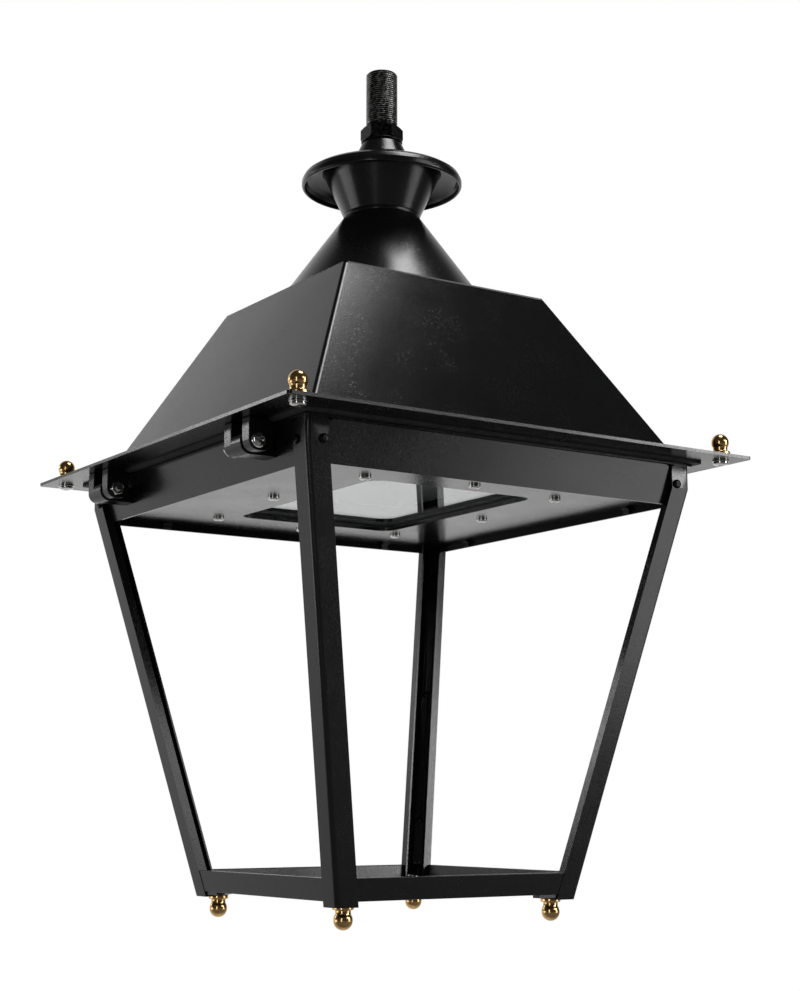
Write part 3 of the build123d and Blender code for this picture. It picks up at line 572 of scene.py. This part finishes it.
def gas_thread(r, z, angle):
    """Radius of the threaded part; the plain rows keep their own radius."""
    if r < 12.5 or z < THREAD_LOW - RUN_OUT:
        return r
    phase = ((z - THREAD_LOW) / PITCH - angle / (2 * math.pi)) % 1.0
    flank = 1 - abs(2 * phase - 1)
    flank = min(1.0, max(0.0, (flank - 0.10) / 0.52))
    flank = flank * flank * (3 - 2 * flank)
    cut_r = ROOT + (CREST - ROOT) * flank
    chamfer_r = CREST - max(0.0, z - (THREAD_TOP - CHAMFER)) * 0.9
    if z < THREAD_LOW:
        depth = min(1.0, max(0.0, (z - THREAD_LOW + RUN_OUT) / RUN_OUT))
        cut_r = RELIEF + (cut_r - RELIEF) * depth
    return min(cut_r, chamfer_r)


def make_nipple():
    """Pipe with a plain shank, a relief above the nut, the thread and a bore."""
    foot = 190.0
    outside = [(12.0, foot), (13.0, foot + 1.0), (13.0, 292.0), (12.9, BRIM_TO_NUT),
               (RELIEF, 295.4), (RELIEF, THREAD_LOW - RUN_OUT - 0.2)]
    threaded = THREAD_TOP - THREAD_LOW + RUN_OUT
    rows = int(threaded / (PITCH / ROWS_A_TURN))
    for k in range(rows + 1):
        z = THREAD_LOW - RUN_OUT + threaded * k / rows
        outside.append((THREAD_BLANK, z))
    bore = [(11.3, THREAD_TOP), (10.8, THREAD_TOP - 0.5), (10.8, foot + 0.5), (11.1, foot)]
    mesh = spin(outside + bore, 96, gas_thread)
    return make_piece("nipple_thread", mesh, thread_steel, "roof",
                      ["threaded_nipple"], 50)


nipple = make_nipple()
turns = (THREAD_TOP - THREAD_LOW) / PITCH
print("thread turns:", round(turns, 1), "faces:", len(nipple.data.polygons))

# %% [markdown]
# ## Cap, funnel and chimney
# These are spun from flat discs: sheet is pressed over a turning form, so the walls are
# smooth and the rims are rolled for stiffness. The cap is a shallow dome with a bell-shaped
# middle that takes the nut, the funnel below it flares up under the cap, and the chimney is
# a straight cone. Spun walls show every facet in their highlights, hence the many columns.

# %% Spun cap
CAP_TOP = 281.5
CAP_HOLE = 13.25
CAP_RIM = 67.1
CAP_RIM_LOW = 241.9


def make_cap():
    """Cap from the hole down over bell, dome and rim, and back along its underside."""
    bell = [(CAP_HOLE, CAP_TOP), (16.4, CAP_TOP, 0.5), (19.2, 275.5, 6.0), (22.2, 269.2, 5.0),
            (28.0, 264.4, 6.0), (36.0, 261.2, 8.0)]
    dome = [(50.0, 257.0), (60.6, 253.9, 6.0), (65.2, 250.9, 3.0), (CAP_RIM, 246.9, 2.5),
            (CAP_RIM, 243.2, 1.6), (66.0, CAP_RIM_LOW, 0.8)]
    under = [(64.8, CAP_RIM_LOW, 0.5), (64.9, 245.8, 2.0), (62.8, 249.2, 2.5), (59.0, 251.6, 3.0),
             (36.0, 259.0, 6.0), (26.6, 262.1, 4.0)]
    neck = [(20.6, 267.0, 4.0), (16.6, CAP_TOP - 2.0, 0.5), (CAP_HOLE, CAP_TOP - 2.0)]
    mesh = spin(rounded_profile(bell + dome + under + neck, 8), 192)
    return make_piece("spun_cap", mesh, coat, "roof", ["cap_disc"])


cap = make_cap()
print("cap across, mm:", round(cap.dimensions.x / MM, 1))


# %% Spun funnel and chimney
def make_funnel():
    """Inverted cone under the cap, with a small lip against the cap's underside."""
    profile = [(30.6, 217.2), (32.2, 217.2, 0.4), (33.4, 220.0, 6.0), (48.2, 252.2, 2.0),
               (49.6, 254.6, 1.0), (52.3, 254.05, 0.3), (52.1, 255.2, 0.3), (47.7, 256.5, 0.5)]
    mesh = spin(rounded_profile(profile, 6), 160)
    return make_piece("spun_funnel", mesh, coat, "roof", ["cap_funnel"])


def make_chimney():
    """Straight cone from the neck down to the roof's top plate, with a narrow foot."""
    neck = 214.2
    foot = 138.5
    profile = [(32.2, neck, 0.4), (30.3, neck, 0.4), (83.7, foot), (86.8, foot, 0.3),
               (86.8, foot + 1.4, 0.6), (85.4, foot + 1.9, 1.5)]
    mesh = spin(rounded_profile(profile, 6), 192)
    return make_piece("spun_chimney", mesh, coat, "roof", ["chimney_cone"])


for cone in (make_funnel(), make_chimney()):
    print(cone.name, "across, mm:", round(cone.dimensions.x / MM, 1))

# %% [markdown]
# ## Folded roof
# Each roof face leans in steeply, and the corners are folded, not welded sharp, so that a
# narrow round strip catches the light from above along each fold. The shell is lofted here
# with ten strips in every corner, which keeps that highlight clean.

# %% Square sections and a loft
def square_loop(half, corner, strips=10):
    """Points of a square with round corners, anticlockwise."""
    points = []
    for i in range(4):
        for k in range(strips + 1):
            angle = math.radians(90 * k / strips)
            x = half - corner + corner * math.cos(angle)
            y = half - corner + corner * math.sin(angle)
            points.append(turn(90 * i, "Z") @ Vector((x, y, 0)))
    return points


def loft(sections):
    """bmesh through closed loops of (points, height), the last joined to the first."""
    mesh = bmesh.new()
    rows = [[mesh.verts.new((p.x, p.y, z)) for p in points] for points, z in sections]
    count = len(rows[0])
    for i in range(len(rows)):
        low = rows[i]
        high = rows[(i + 1) % len(rows)]
        for k in range(count):
            n = (k + 1) % count
            mesh.faces.new((low[k], low[n], high[n], high[k]))
    bmesh.ops.recalc_face_normals(mesh, faces=mesh.faces[:])
    return mesh


print("points in a square section:", len(square_loop(100.0, 3.0)))


# %% Roof shell
ROOF_FOOT = 1.2
ROOF_TOP = 137.0
ROOF_FOOT_HALF = 169.9
ROOF_TOP_HALF = 96.2
ROOF_WALL = 2.28        # sheet thickness measured level, across the slope
ROOF_FOLD = 3.1         # radius of the folded corners


def roof_section(share, inset, corner):
    """Loop and height of the roof at a share of its rise."""
    half = ROOF_FOOT_HALF - inset + (ROOF_TOP_HALF - ROOF_FOOT_HALF) * share
    return square_loop(half, corner), ROOF_FOOT + (ROOF_TOP - ROOF_FOOT) * share


def make_roof():
    """Outside from foot to top and inside back down, in one closed loft."""
    outer = [roof_section(k / 12, 0.0, ROOF_FOLD) for k in range(13)]
    inner = [roof_section(share, ROOF_WALL, ROOF_FOLD - 1.6) for share in (1.0, 0.5, 0.0)]
    mesh = loft(outer + inner)
    return make_piece("folded_roof", mesh, coat, "roof", ["roof_shell"])


roof = make_roof()
print("roof, mm:", [round(v / MM, 1) for v in roof.dimensions])

# %% [markdown]
# ## Screws with a cross recess
# A screw reads as a screw by its recess. The body is turned, and a cross-shaped punch is cut
# out of the head with a Boolean, the way the recess is punched in a real blank. The result
# is made once for each size and then copied to its places.

# %% Punch
def cross_punch(reach, width, depth, floor):
    """Cross-shaped tool that tapers towards its tip."""
    mesh = bmesh.new()
    for quarter in (0, 90):
        corners = [(-1, -1), (1, -1), (1, 1), (-1, 1)]
        spun = turn(quarter, "Z")
        tip = [Vector((0.72 * reach * x, 0.35 * width * y, floor + depth)) for x, y in corners]
        base = [Vector((reach * x, 0.5 * width * y, floor - 2.0)) for x, y in corners]
        inner = [mesh.verts.new(spun @ point) for point in tip]
        outer = [mesh.verts.new(spun @ point) for point in base]
        mesh.faces.new(inner)
        mesh.faces.new(outer)
        for k in range(4):
            n = (k + 1) % 4
            mesh.faces.new((inner[k], inner[n], outer[n], outer[k]))
    bmesh.ops.recalc_face_normals(mesh, faces=mesh.faces[:])
    return mesh


trial = cross_punch(2.6, 1.1, 1.7, 0.0)
print("faces of a punch:", len(trial.faces))
trial.free()


# %% Cut with a Boolean
def as_object(name, mesh):
    """Bare object for a Boolean; it is deleted again after the cut."""
    data = bpy.data.meshes.new(name)
    mesh.to_mesh(data)
    mesh.free()
    thing = bpy.data.objects.new(name, data)
    bpy.context.scene.collection.objects.link(thing)
    return thing


def cut(body_mesh, tool_mesh):
    """bmesh of the body with the tool taken out of it."""
    body = as_object("screw_blank", body_mesh)
    tool = as_object("screw_punch", tool_mesh)
    modifier = body.modifiers.new("recess", "BOOLEAN")
    modifier.operation = "DIFFERENCE"
    modifier.solver = "EXACT"
    modifier.use_self = True
    modifier.object = tool
    seen = body.evaluated_get(bpy.context.evaluated_depsgraph_get())
    result = bmesh.new()
    result.from_mesh(seen.to_mesh())
    seen.to_mesh_clear()
    for thing in (body, tool):
        data = thing.data
        bpy.data.objects.remove(thing)
        bpy.data.meshes.remove(data)
    bmesh.ops.dissolve_degenerate(result, dist=1e-5, edges=result.edges[:])
    return result


trial = cut(spin([(0, -1), (4, -1), (4, 1), (0, 1)], 24), cross_punch(2.0, 1.0, 1.0, -1.0))
print("faces of a punched disc:", len(trial.faces))
trial.free()


# %% Recessed screw
def screw_blank(head_r, head, shank_r, shank, washer_r, washer, tip=0.5):
    """Domed screw with its seat at the origin: head below, shank above, washer under the head."""
    low = -washer
    edge = 0.15
    dome = []
    for k in range(9):
        angle = math.radians(90 * k / 8)
        r = head_r * (0.30 + 0.70 * math.cos(angle))
        dome.append((r, low - 0.42 * head - 0.58 * head * math.sin(angle)))
    points = [(0, shank), (shank_r - tip, shank), (shank_r, shank - tip), (shank_r, 0)]
    if washer:
        points += [(washer_r - edge, 0), (washer_r, -edge), (washer_r, low + edge),
                   (washer_r - edge, low)]
    points += [(head_r - 0.1, low), (head_r, low - 0.12)] + dome + [(0, low - head)]
    return spin(points, 48)


def recessed_screw(head_r, head, shank_r, shank, washer_r=0.0, washer=0.0):
    """Domed screw with its cross recess punched in."""
    punch = cross_punch(0.56 * head_r, 0.24 * head_r, 0.50 * head, -washer - head)
    return cut(screw_blank(head_r, head, shank_r, shank, washer_r, washer), punch)


trial = recessed_screw(4.6, 3.4, 2.5, 13.0)
print("faces of one plate screw:", len(trial.faces))
trial.free()

# %% [markdown]
# ## Screws in their places
# Eight stainless screws hold the window frame up to its clamp. Two small black screws join
# the top of each post to the frame's flange, and three more hold each post's liner. A screw
# holds each ball finial from the far side of the sheet, under the brim with a washer.

# %% Screws of the window frame
def place_plate_screws():
    """Four at the corners of the window frame and four between them, no two turned alike."""
    low = -29.6
    corner_x, corner_y = 88.8, 113.9
    side, end = 101.0, 128.4
    spots = [(corner_x, corner_y), (-corner_x, corner_y), (-corner_x, -corner_y),
             (corner_x, -corner_y), (side, 0), (-side, 0), (0, end), (0, -end)]
    places = [at(x, y, low) @ turn(37 * i, "Z") for i, (x, y) in enumerate(spots)]
    mesh = copies(recessed_screw(4.6, 3.4, 2.5, 13.0), places)
    return make_piece("cross_screws_plate", mesh, stainless, "frame",
                      ["plate_screws"])


plate_screws = place_plate_screws()
print(plate_screws.name, "faces:", len(plate_screws.data.polygons))


# %% Screws of the posts
LEAN = 0.2139               # how far the frame's sides lean in for each mm of height
ARRIS_HALF = 176.1          # half size of the frame over the posts' outer corners ...
ARRIS_LEVEL = -20.0         # ... at this level
POST_KNEE = -23.5           # above this level the posts stand upright
POST_SHEET = 1.5
LINER_WIDTH = 9.0


def arris(z):
    """Half size of the leaning frame at a height."""
    return ARRIS_HALF + LEAN * (z - ARRIS_LEVEL)


def place_post_screws():
    """One through each face at the upright top of each post."""
    level = -20.2
    face = arris(POST_KNEE)
    along = face - 13.5
    places = four_turns([at(along, face, level) @ turn(90, "X") @ turn(12, "Z"),
                         at(face, along, level) @ turn(-90, "Y") @ turn(40, "Z")])
    mesh = copies(recessed_screw(3.5, 2.1, 1.9, 7.0), places)
    return make_piece("cross_screws_posts", mesh, black_steel, "frame",
                      ["post_screws"])


def place_liner_screws():
    """Three up the strip in the inside corner of each post, square to its lean."""
    tilt = math.degrees(math.atan(LEAN * math.sqrt(2)))
    places = []
    for z in (-59.0, -170.0, -281.0):
        half = arris(z) - POST_SHEET - LINER_WIDTH / math.sqrt(2) / 2
        place = at(half, half, z) @ turn(45, "Z") @ turn(90 + tilt, "Y") @ turn(z, "Z")
        places.append(place)
    mesh = copies(recessed_screw(3.0, 1.8, 1.5, 2.6), four_turns(places))
    return make_piece("cross_screws_liners", mesh, black_steel, "frame",
                      ["liner_screws"])


for screws in (place_post_screws(), place_liner_screws()):
    print(screws.name, "faces:", len(screws.data.polygons))


# %% Screws of the finials
BRIM_FACE = 1.2             # half the brim's thickness
UPPER_FINIAL_AT = 192.8
LOWER_FINIAL_AT = 94.0
GUSSET_TOP = -329.2


def place_upper_finial_screws():
    """One with a washer under each corner of the brim."""
    places = four_turns([at(UPPER_FINIAL_AT, UPPER_FINIAL_AT, -BRIM_FACE) @ turn(20, "Z")])
    mesh = copies(recessed_screw(5.9, 2.9, 3.0, 9.4, 6.6, 1.0), places)
    return make_piece("washer_screws_brim", mesh, stainless, "roof",
                      ["upper_finial_screws"])


def place_lower_finial_screws():
    """One on top of each gusset inside the ring."""
    place = at(LOWER_FINIAL_AT, LOWER_FINIAL_AT, GUSSET_TOP) @ turn(180, "X") @ turn(28, "Z")
    mesh = copies(recessed_screw(5.9, 2.9, 3.0, 16.3), four_turns([place]))
    return make_piece("cross_screws_gussets", mesh, stainless, "frame",
                      ["lower_finial_screws"])


for screws in (place_upper_finial_screws(), place_lower_finial_screws()):
    print(screws.name, "faces:", len(screws.data.polygons))

# %% [markdown]
# ## Hinge bolts
# Each hinge turns on an M6 bolt. Its bright domed head shows on the outer side of the ears
# and its threaded end stands a little out of the nut, so the last turns are cut like the
# nipple's thread. The rear bolt is the mirror image of the front one.

# %% Hinge bolts
BOLT_R = 3.0
BOLT_HEAD_R = 5.9
BOLT_HEAD = 4.0
BOLT_SHANK = 43.4
BOLT_GRIP = 36.8        # across both ears and the knuckle
HINGE_X, HINGE_Y, HINGE_Z = -190.5, -116.6, -17.5


def bolt_thread(r, z, angle):
    """M6 thread on the bolt's end, with a pitch of 1 mm."""
    if z < 30.0 or r < 2.9:
        return r
    phase = (z - angle / (2 * math.pi)) % 1.0
    return 2.55 + 0.42 * (1 - abs(2 * phase - 1))


def make_hinge_bolts():
    """Bolt from its threaded end to its domed head, placed in both hinges."""
    points = [(0, BOLT_SHANK), (2.0, BOLT_SHANK), (2.6, BOLT_SHANK - 0.5)]
    rows = 40
    for k in range(rows + 1):
        points.append((2.95, BOLT_SHANK - 0.7 - 12.3 * k / rows))
    dome = []
    for k in range(11):
        angle = math.radians(90 * k / 10)
        dome.append((BOLT_HEAD_R * (0.25 + 0.75 * math.cos(angle)), -1.0 - 3.0 * math.sin(angle)))
    points += [(BOLT_R, 29.9), (BOLT_R, 0.0), (5.8, 0.0), (BOLT_HEAD_R, -0.1)]
    points += dome + [(0, -BOLT_HEAD)]
    blank = spin(points, 48, bolt_thread)
    bolt = cut(blank, cross_punch(3.2, 1.4, 2.0, -BOLT_HEAD))
    seat = at(HINGE_X, HINGE_Y - BOLT_GRIP / 2, HINGE_Z)
    front = seat @ turn(-90, "X") @ turn(25, "Z")
    rear = Matrix.Scale(-1, 4, (0, 1, 0)) @ front
    mesh = copies(bolt, [front, rear])
    return make_piece("hinge_bolts_domed", mesh, stainless, "roof",
                      ["hinge_bolts"])


bolts = make_hinge_bolts()
print("hinge bolts, mm:", [round(v / MM, 1) for v in bolts.dimensions])

# %% [markdown]
# ## Ball finials
# The finials are turned from brass bar: a broad foot, a short neck and a ball. Above the
# brim they stand on a taller foot; below the posts they hang upside down on a spacer that
# reaches up to the corner plates inside the ring.

# %% Brass finials
HOLE_R = 3.05           # for the M6 screw
FOOT_R = 7.8
NECK_R = 5.7
RING_FOOT = -338.5      # the lower finials' seat under the ring


def finial_profile(stand, ball_r, spacer=0.0):
    """Profile from the foot to the top of the ball; the screw's hole is hidden inside."""
    points = [(HOLE_R, 0.0)]
    if spacer:
        points = [(HOLE_R, -spacer), (5.0, -spacer, 0.2), (5.0, 0.0)]
    foot = 2.8 + stand
    points += [(FOOT_R, 0.0, 0.5), (FOOT_R, foot, 0.6), (6.2, foot, 0.3),
               (NECK_R, foot + 0.5, 0.5)]
    centre = 10.2 + stand
    start = math.asin(NECK_R / ball_r)
    steps = 22
    for k in range(steps + 1):
        angle = -math.pi / 2 + start + (math.pi - start) * k / steps
        r = max(0.0, ball_r * math.cos(angle))
        points.append((r if k < steps else 0.0, centre + ball_r * math.sin(angle)))
    points += [(0.0, foot + 2.2), (HOLE_R, foot + 2.2)]
    return points


def make_upper_finials():
    """Four on the brim's corners."""
    mesh = spin(rounded_profile(finial_profile(1.8, 6.9), 4), 64)
    places = four_turns([at(UPPER_FINIAL_AT, UPPER_FINIAL_AT, BRIM_FACE)])
    return make_piece("ball_finials_brim", copies(mesh, places), brass, "roof",
                      ["upper_finials"])


def make_lower_finials():
    """Four upside down under the ring, each with its spacer."""
    mesh = spin(rounded_profile(finial_profile(0.0, 7.05, 6.9), 4), 64)
    places = four_turns([at(LOWER_FINIAL_AT, LOWER_FINIAL_AT, RING_FOOT) @ turn(180, "X")])
    return make_piece("ball_finials_posts", copies(mesh, places), brass, "frame",
                      ["lower_finials"])


for balls in (make_upper_finials(), make_lower_finials()):
    print(balls.name, "across all four, mm:", round(balls.dimensions.x / MM, 1))

# %% [markdown]
# ## Knurled thumbscrew
# The frame is kept shut by a captive thumbscrew. Its head is knurled for the fingers: the
# radius goes in and out thirty times round the turn, but only on the head, and a fine thread
# runs up the shank.

# %% Thumbscrew
THUMB_X = 186.0
THUMB_TOP = -18.0       # the head's upper shoulder, against the lug
KNURL_R = 7.98


def knurl(r, z, angle):
    """Straight knurl on the head, thread on the shank."""
    if r > 7.0:
        return r - 0.55 * abs(math.sin(15 * angle))
    if 2.7 < r < 2.85 and z > -14.0:
        phase = (z - angle / (2 * math.pi)) % 1.0
        return 2.45 + 0.34 * (1 - abs(2 * phase - 1))
    return r


def make_thumbscrew():
    """Screw from the face of its head up to the end of its shank."""
    low = THUMB_TOP
    points = [(0, low - 10.0), (6.4, low - 10.0), (7.0, low - 9.9)]
    points += [(7.3, low - 9.8), (KNURL_R, low - 9.1), (KNURL_R, low - 2.0)]
    points += [(7.3, low - 1.3), (6.9, low - 1.2), (5.0, low - 1.2)]
    points += [(5.0, low), (2.8, low), (2.8, -14.2)]
    rows = 60
    for k in range(rows + 1):
        points.append((2.8, -13.9 + 14.8 * k / rows))
    points += [(2.0, 1.8), (0, 1.8)]
    mesh = spin(points, 120, knurl)
    mesh.transform(at(THUMB_X, 0, 0))
    return make_piece("knurled_thumbscrew", mesh, stainless, "latch_screw",
                      ["thumbscrew"], 30)


thumb = make_thumbscrew()
print("thumbscrew, mm:", [round(v / MM, 1) for v in thumb.dimensions])

# %% [markdown]
# ## Light sources under the lenses
# Under each moulded lens on the board sits one light-emitting chip with a yellow phosphor.
# They are tiny bevelled blocks, all in one mesh, and move with the roof.

# %% Chips on the board
CHIP_COLUMNS = 4
CHIP_ROWS = 6
CHIP_PITCH = 27.0
CHIP_LEVEL = 16.05


def make_chips():
    """One small block under each lens, in rows about the middle of the board."""
    mesh = bmesh.new()
    bmesh.ops.create_cube(mesh, size=1.0)
    bmesh.ops.scale(mesh, vec=(3.4, 3.4, 0.7), verts=mesh.verts[:])
    bmesh.ops.bevel(mesh, geom=mesh.edges[:], offset=0.15, segments=2, affect="EDGES")
    places = []
    for column in range(CHIP_COLUMNS):
        for row in range(CHIP_ROWS):
            x = (column - (CHIP_COLUMNS - 1) / 2) * CHIP_PITCH
            y = (row - (CHIP_ROWS - 1) / 2) * CHIP_PITCH
            places.append(at(x, y, CHIP_LEVEL))
    return make_piece("led_chips", copies(mesh, places), phosphor, "roof")


chips = make_chips()
print("chips:", CHIP_COLUMNS * CHIP_ROWS, "faces:", len(chips.data.polygons))

# %% [markdown]
# ## Sheet pieces from the engineering model
# The posts, skirts, plates, ring and gear keep the engineering meshes. Cut and folded sheet
# never has a knife-sharp edge, so each mesh is welded where its facets meet, its edges are
# softened by a narrow bevel, and its normals are weighted by area so that the big faces stay
# flat in the reflections.

# %% Finish of every kept piece
FINISHES = {
    "black_paint": coat, "black_steel": black_steel, "stainless_steel": stainless,
    "zinc_steel": zinc, "satin_brass": brass, "black_rubber": rubber,
    "clear_glass": pane_glass, "cast_aluminium": aluminium, "board_white": board_white,
    "clear_plastic": lens_acrylic, "white_paint": enamel, "driver_case": case_grey,
    "terminal_plastic": ivory,
}
slots = {part["node"]: part["material_slot"] for part in frame["record"]["subparts"]}
for name, piece in sorted(nodes.items()):
    piece.data.materials.clear()
    piece.data.materials.append(FINISHES[slots[name]])
print("pieces with a finish:", len(nodes))


# %% Soft edges on every kept piece
# Not softened: two plates whose cut-outs and lenses a bevel would spoil, and five pieces
# that are out of sight, because the finer shapes above stand for them.
LEFT_SHARP = {"window_plate", "lens_plate", "roof_shell", "cap_disc", "cap_funnel",
              "chimney_cone", "threaded_nipple"}
WELD_GAP = 0.004        # mm
WIDEST_BEVEL = 0.7      # mm
SHARP_FROM = 32         # degrees between faces


def soften(piece, width):
    """Rounds the sharp edges of an engineering mesh by modifiers."""
    weld = piece.modifiers.new("weld", "WELD")
    weld.merge_threshold = WELD_GAP * MM
    bevel = piece.modifiers.new("soft_edge", "BEVEL")
    bevel.width = width
    bevel.segments = 2
    bevel.limit_method = "ANGLE"
    bevel.angle_limit = math.radians(SHARP_FROM)
    bevel.miter_outer = "MITER_ARC"
    bevel.face_strength_mode = "FSTR_ALL"
    flat = piece.modifiers.new("flat_faces", "WEIGHTED_NORMAL")
    flat.weight = 90
    flat.keep_sharp = False
    flat.use_face_influence = True


softened = sorted(set(nodes) - LEFT_SHARP)
for name in softened:
    piece = nodes[name]
    piece.data.polygons.foreach_set("use_smooth", [True] * len(piece.data.polygons))
    thickness = max(min(size_of(name)), 1.0)
    soften(piece, MM * min(WIDEST_BEVEL, 0.33 * thickness))
print("pieces with soft edges:", len(softened))

# %% [markdown]
# ## Floor and studio
# The lantern hangs in a white studio. The camera sees white all round, and so does every view
# through glass. Shiny faces mirror a backdrop that is bright behind the lantern and dark
# beside and before it, which gives the black faces their gradients. The floor far below
# follows the same rule: it is grey, glows white towards the camera and is darker in mirrors.

# %% World
BACKDROP = (0.30, 0.95, -0.25)     # direction of the middle of the bright backdrop
WHITE = (1, 1, 1, 1)
FLOOR_GREY = (0.40, 0.40, 0.40)
FLOOR_MIRRORED = (0.14, 0.14, 0.14)


def behind_lantern(tree, direction):
    """1.1 towards the middle of the backdrop, falling to 0.03 beside and before the lantern."""
    facing = add(tree, "VectorMath", operation="DOT_PRODUCT")
    facing.inputs[1].default_value = BACKDROP
    tree.links.new(direction, facing.inputs[0])
    return stretch_range(tree, facing.outputs["Value"], 0.25, 1.0, 0.03, 1.10)


def seen_clearly(tree, path):
    """1 for rays straight from the camera or through clear pieces."""
    return combine(tree, path.outputs["Is Camera Ray"], path.outputs["Is Transmission Ray"],
                   "MAXIMUM")


def make_studio():
    """World with one brightness for camera and clear rays, one for mirrors, one for the rest."""
    world = bpy.data.worlds.new("white_studio")
    bpy.context.scene.world = world
    world.use_nodes = True
    tree = world.node_tree
    tree.nodes.clear()
    path = add(tree, "LightPath")
    place = add(tree, "TexCoord")
    room = behind_lantern(tree, place.outputs["Generated"])
    clear_view = seen_clearly(tree, path)
    soft = add(tree, "Background", {"Color": WHITE, "Strength": 0.50})
    mirrored = add(tree, "Background", {"Color": WHITE})
    tree.links.new(room, mirrored.inputs["Strength"])
    seen = add(tree, "Background", {"Color": WHITE, "Strength": 1.0})
    first = add(tree, "MixShader")
    tree.links.new(path.outputs["Is Glossy Ray"], first.inputs["Fac"])
    tree.links.new(soft.outputs[0], first.inputs[1])
    tree.links.new(mirrored.outputs[0], first.inputs[2])
    second = add(tree, "MixShader")
    tree.links.new(clear_view, second.inputs["Fac"])
    tree.links.new(first.outputs[0], second.inputs[1])
    tree.links.new(seen.outputs[0], second.inputs[2])
    out = add(tree, "OutputWorld")
    tree.links.new(second.outputs[0], out.inputs["Surface"])
    return world


studio = make_studio()
print("world nodes:", len(studio.node_tree.nodes))


# %% Floor
def make_floor(level=-1.25, radius=14.0):
    """Wide disc whose glow fades in with the distance from the lantern."""
    finish, tree, skin = new_finish("studio_floor")
    skin.inputs["Roughness"].default_value = 0.9
    skin.inputs["Specular IOR Level"].default_value = 0.0
    path = add(tree, "LightPath")
    colour = two_colours(tree, path.outputs["Is Glossy Ray"], FLOOR_GREY, FLOOR_MIRRORED)
    tree.links.new(colour, skin.inputs["Base Color"])
    place = add(tree, "TexCoord")
    away = add(tree, "VectorMath", operation="LENGTH")
    forward = add(tree, "VectorMath", {1: (0.13, 0.42, 0.0)}, operation="ADD")
    reach = add(tree, "Math", {1: 0.55}, operation="ADD")
    bearing = add(tree, "VectorMath", operation="SCALE")
    inverse = add(tree, "Math", {0: 1.0}, operation="DIVIDE")
    tree.links.new(place.outputs["Object"], away.inputs[0])
    tree.links.new(place.outputs["Object"], forward.inputs[0])
    tree.links.new(away.outputs["Value"], reach.inputs[0])
    tree.links.new(reach.outputs["Value"], inverse.inputs[1])
    tree.links.new(forward.outputs["Vector"], bearing.inputs[0])
    tree.links.new(inverse.outputs["Value"], bearing.inputs["Scale"])
    bright = behind_lantern(tree, bearing.outputs["Vector"])
    mirrored = combine(tree, path.outputs["Is Glossy Ray"], bright, "MULTIPLY")
    shown = combine(tree, seen_clearly(tree, path), mirrored, "MAXIMUM")
    sweep = stretch_range(tree, away.outputs["Value"], 1.5, 5.0, 0.50, 0.80)
    glow = combine(tree, shown, sweep, "MULTIPLY")
    skin.inputs["Emission Color"].default_value = WHITE
    tree.links.new(glow, skin.inputs["Emission Strength"])
    mesh = bmesh.new()
    bmesh.ops.create_circle(mesh, cap_ends=True, segments=96, radius=radius)
    data = bpy.data.meshes.new("floor")
    mesh.to_mesh(data)
    mesh.free()
    data.materials.append(finish)
    floor = bpy.data.objects.new("floor", data)
    floor.location = (0, 0, level)
    bpy.context.scene.collection.objects.link(floor)
    return floor


floor = make_floor()
print("floor level, m:", floor.location.z)

# %% [markdown]
# ## Lamps
# Seven soft boxes light the lantern. The one above draws the bright streak on chimney, cap
# and folds. Three to the right of the photographer light the right faces, the plate and its
# glass; a tall strip lights the left ones, and two behind on the left catch the edges.

# %% Soft boxes
LAMPS = [  # name, place, point aimed at, width, height in metres, watts
    ("soft_box_above", (0.30, -0.37, 1.33), (0, 0, -0.15), 0.66, 0.62, 11.2),
    ("soft_box_right", (2.00, -1.90, -0.75), (0, 0, -0.35), 1.1, 0.8, 6.0),
    ("soft_box_window", (1.98, -1.98, 0.20), (0, 0, -0.3), 0.50, 1.00, 17.0),
    ("soft_box_front", (1.20, -2.30, 0.62), (0, 0, -0.4), 1.0, 0.7, 6.0),
    ("soft_box_strip", (-1.95, -1.65, -0.35), (0, 0, -0.35), 0.32, 1.6, 5.0),
    ("soft_box_left", (-2.17, 1.25, -0.80), (0, 0, -0.15), 1.30, 0.60, 4.6),
    ("soft_box_edge", (-1.43, 2.05, 0.33), (0, 0, -0.29), 0.42, 0.36, 2.3),
]


def soft_box(name, place, aim, width, height, power):
    """Rectangular lamp at a place, facing the point it is aimed at."""
    lamp = bpy.data.lights.new(name, "AREA")
    lamp.shape = "RECTANGLE"
    lamp.size = width
    lamp.size_y = height
    lamp.energy = power
    holder = bpy.data.objects.new(name, lamp)
    holder.location = place
    holder.rotation_euler = (Vector(aim) - Vector(place)).to_track_quat("-Z", "Y").to_euler()
    bpy.context.scene.collection.objects.link(holder)
    return holder


print("lamps:", [soft_box(*settings).name for settings in LAMPS])

# %% [markdown]
# ## Camera
# The photographer stood close to the level of the lantern's foot and looked up by about ten
# degrees, a little left of the front corner post. The camera is given by its three axes and
# its place, found by lining up the brim, the roof and the cap.

# %% Camera
SENSOR = 36.0           # mm along the photo's longer side
PHOTO_HEIGHT = 991      # pixels
FOCAL_PIXELS = 1784.37


def make_camera():
    """Camera fitted to the photo."""
    right = Vector((0.83160, -0.55537, -0.00126))
    up = Vector((-0.09365, -0.14247, 0.98536))
    back = Vector((-0.54742, -0.81931, -0.17049))
    lens = bpy.data.cameras.new("photo_camera")
    lens.sensor_width = SENSOR
    lens.sensor_fit = "AUTO"
    lens.lens = FOCAL_PIXELS / PHOTO_HEIGHT * SENSOR
    lens.clip_start = 0.05
    camera = bpy.data.objects.new("photo_camera", lens)
    pose = Matrix((right, up, back)).transposed().to_4x4()
    pose.translation = Vector((-0.78367, -1.19990, -0.56191))
    camera.matrix_world = pose
    bpy.context.scene.collection.objects.link(camera)
    bpy.context.scene.camera = camera
    return camera


camera = make_camera()
bpy.context.scene.view_settings.view_transform = "Standard"
print("lens, mm:", round(camera.data.lens, 2))
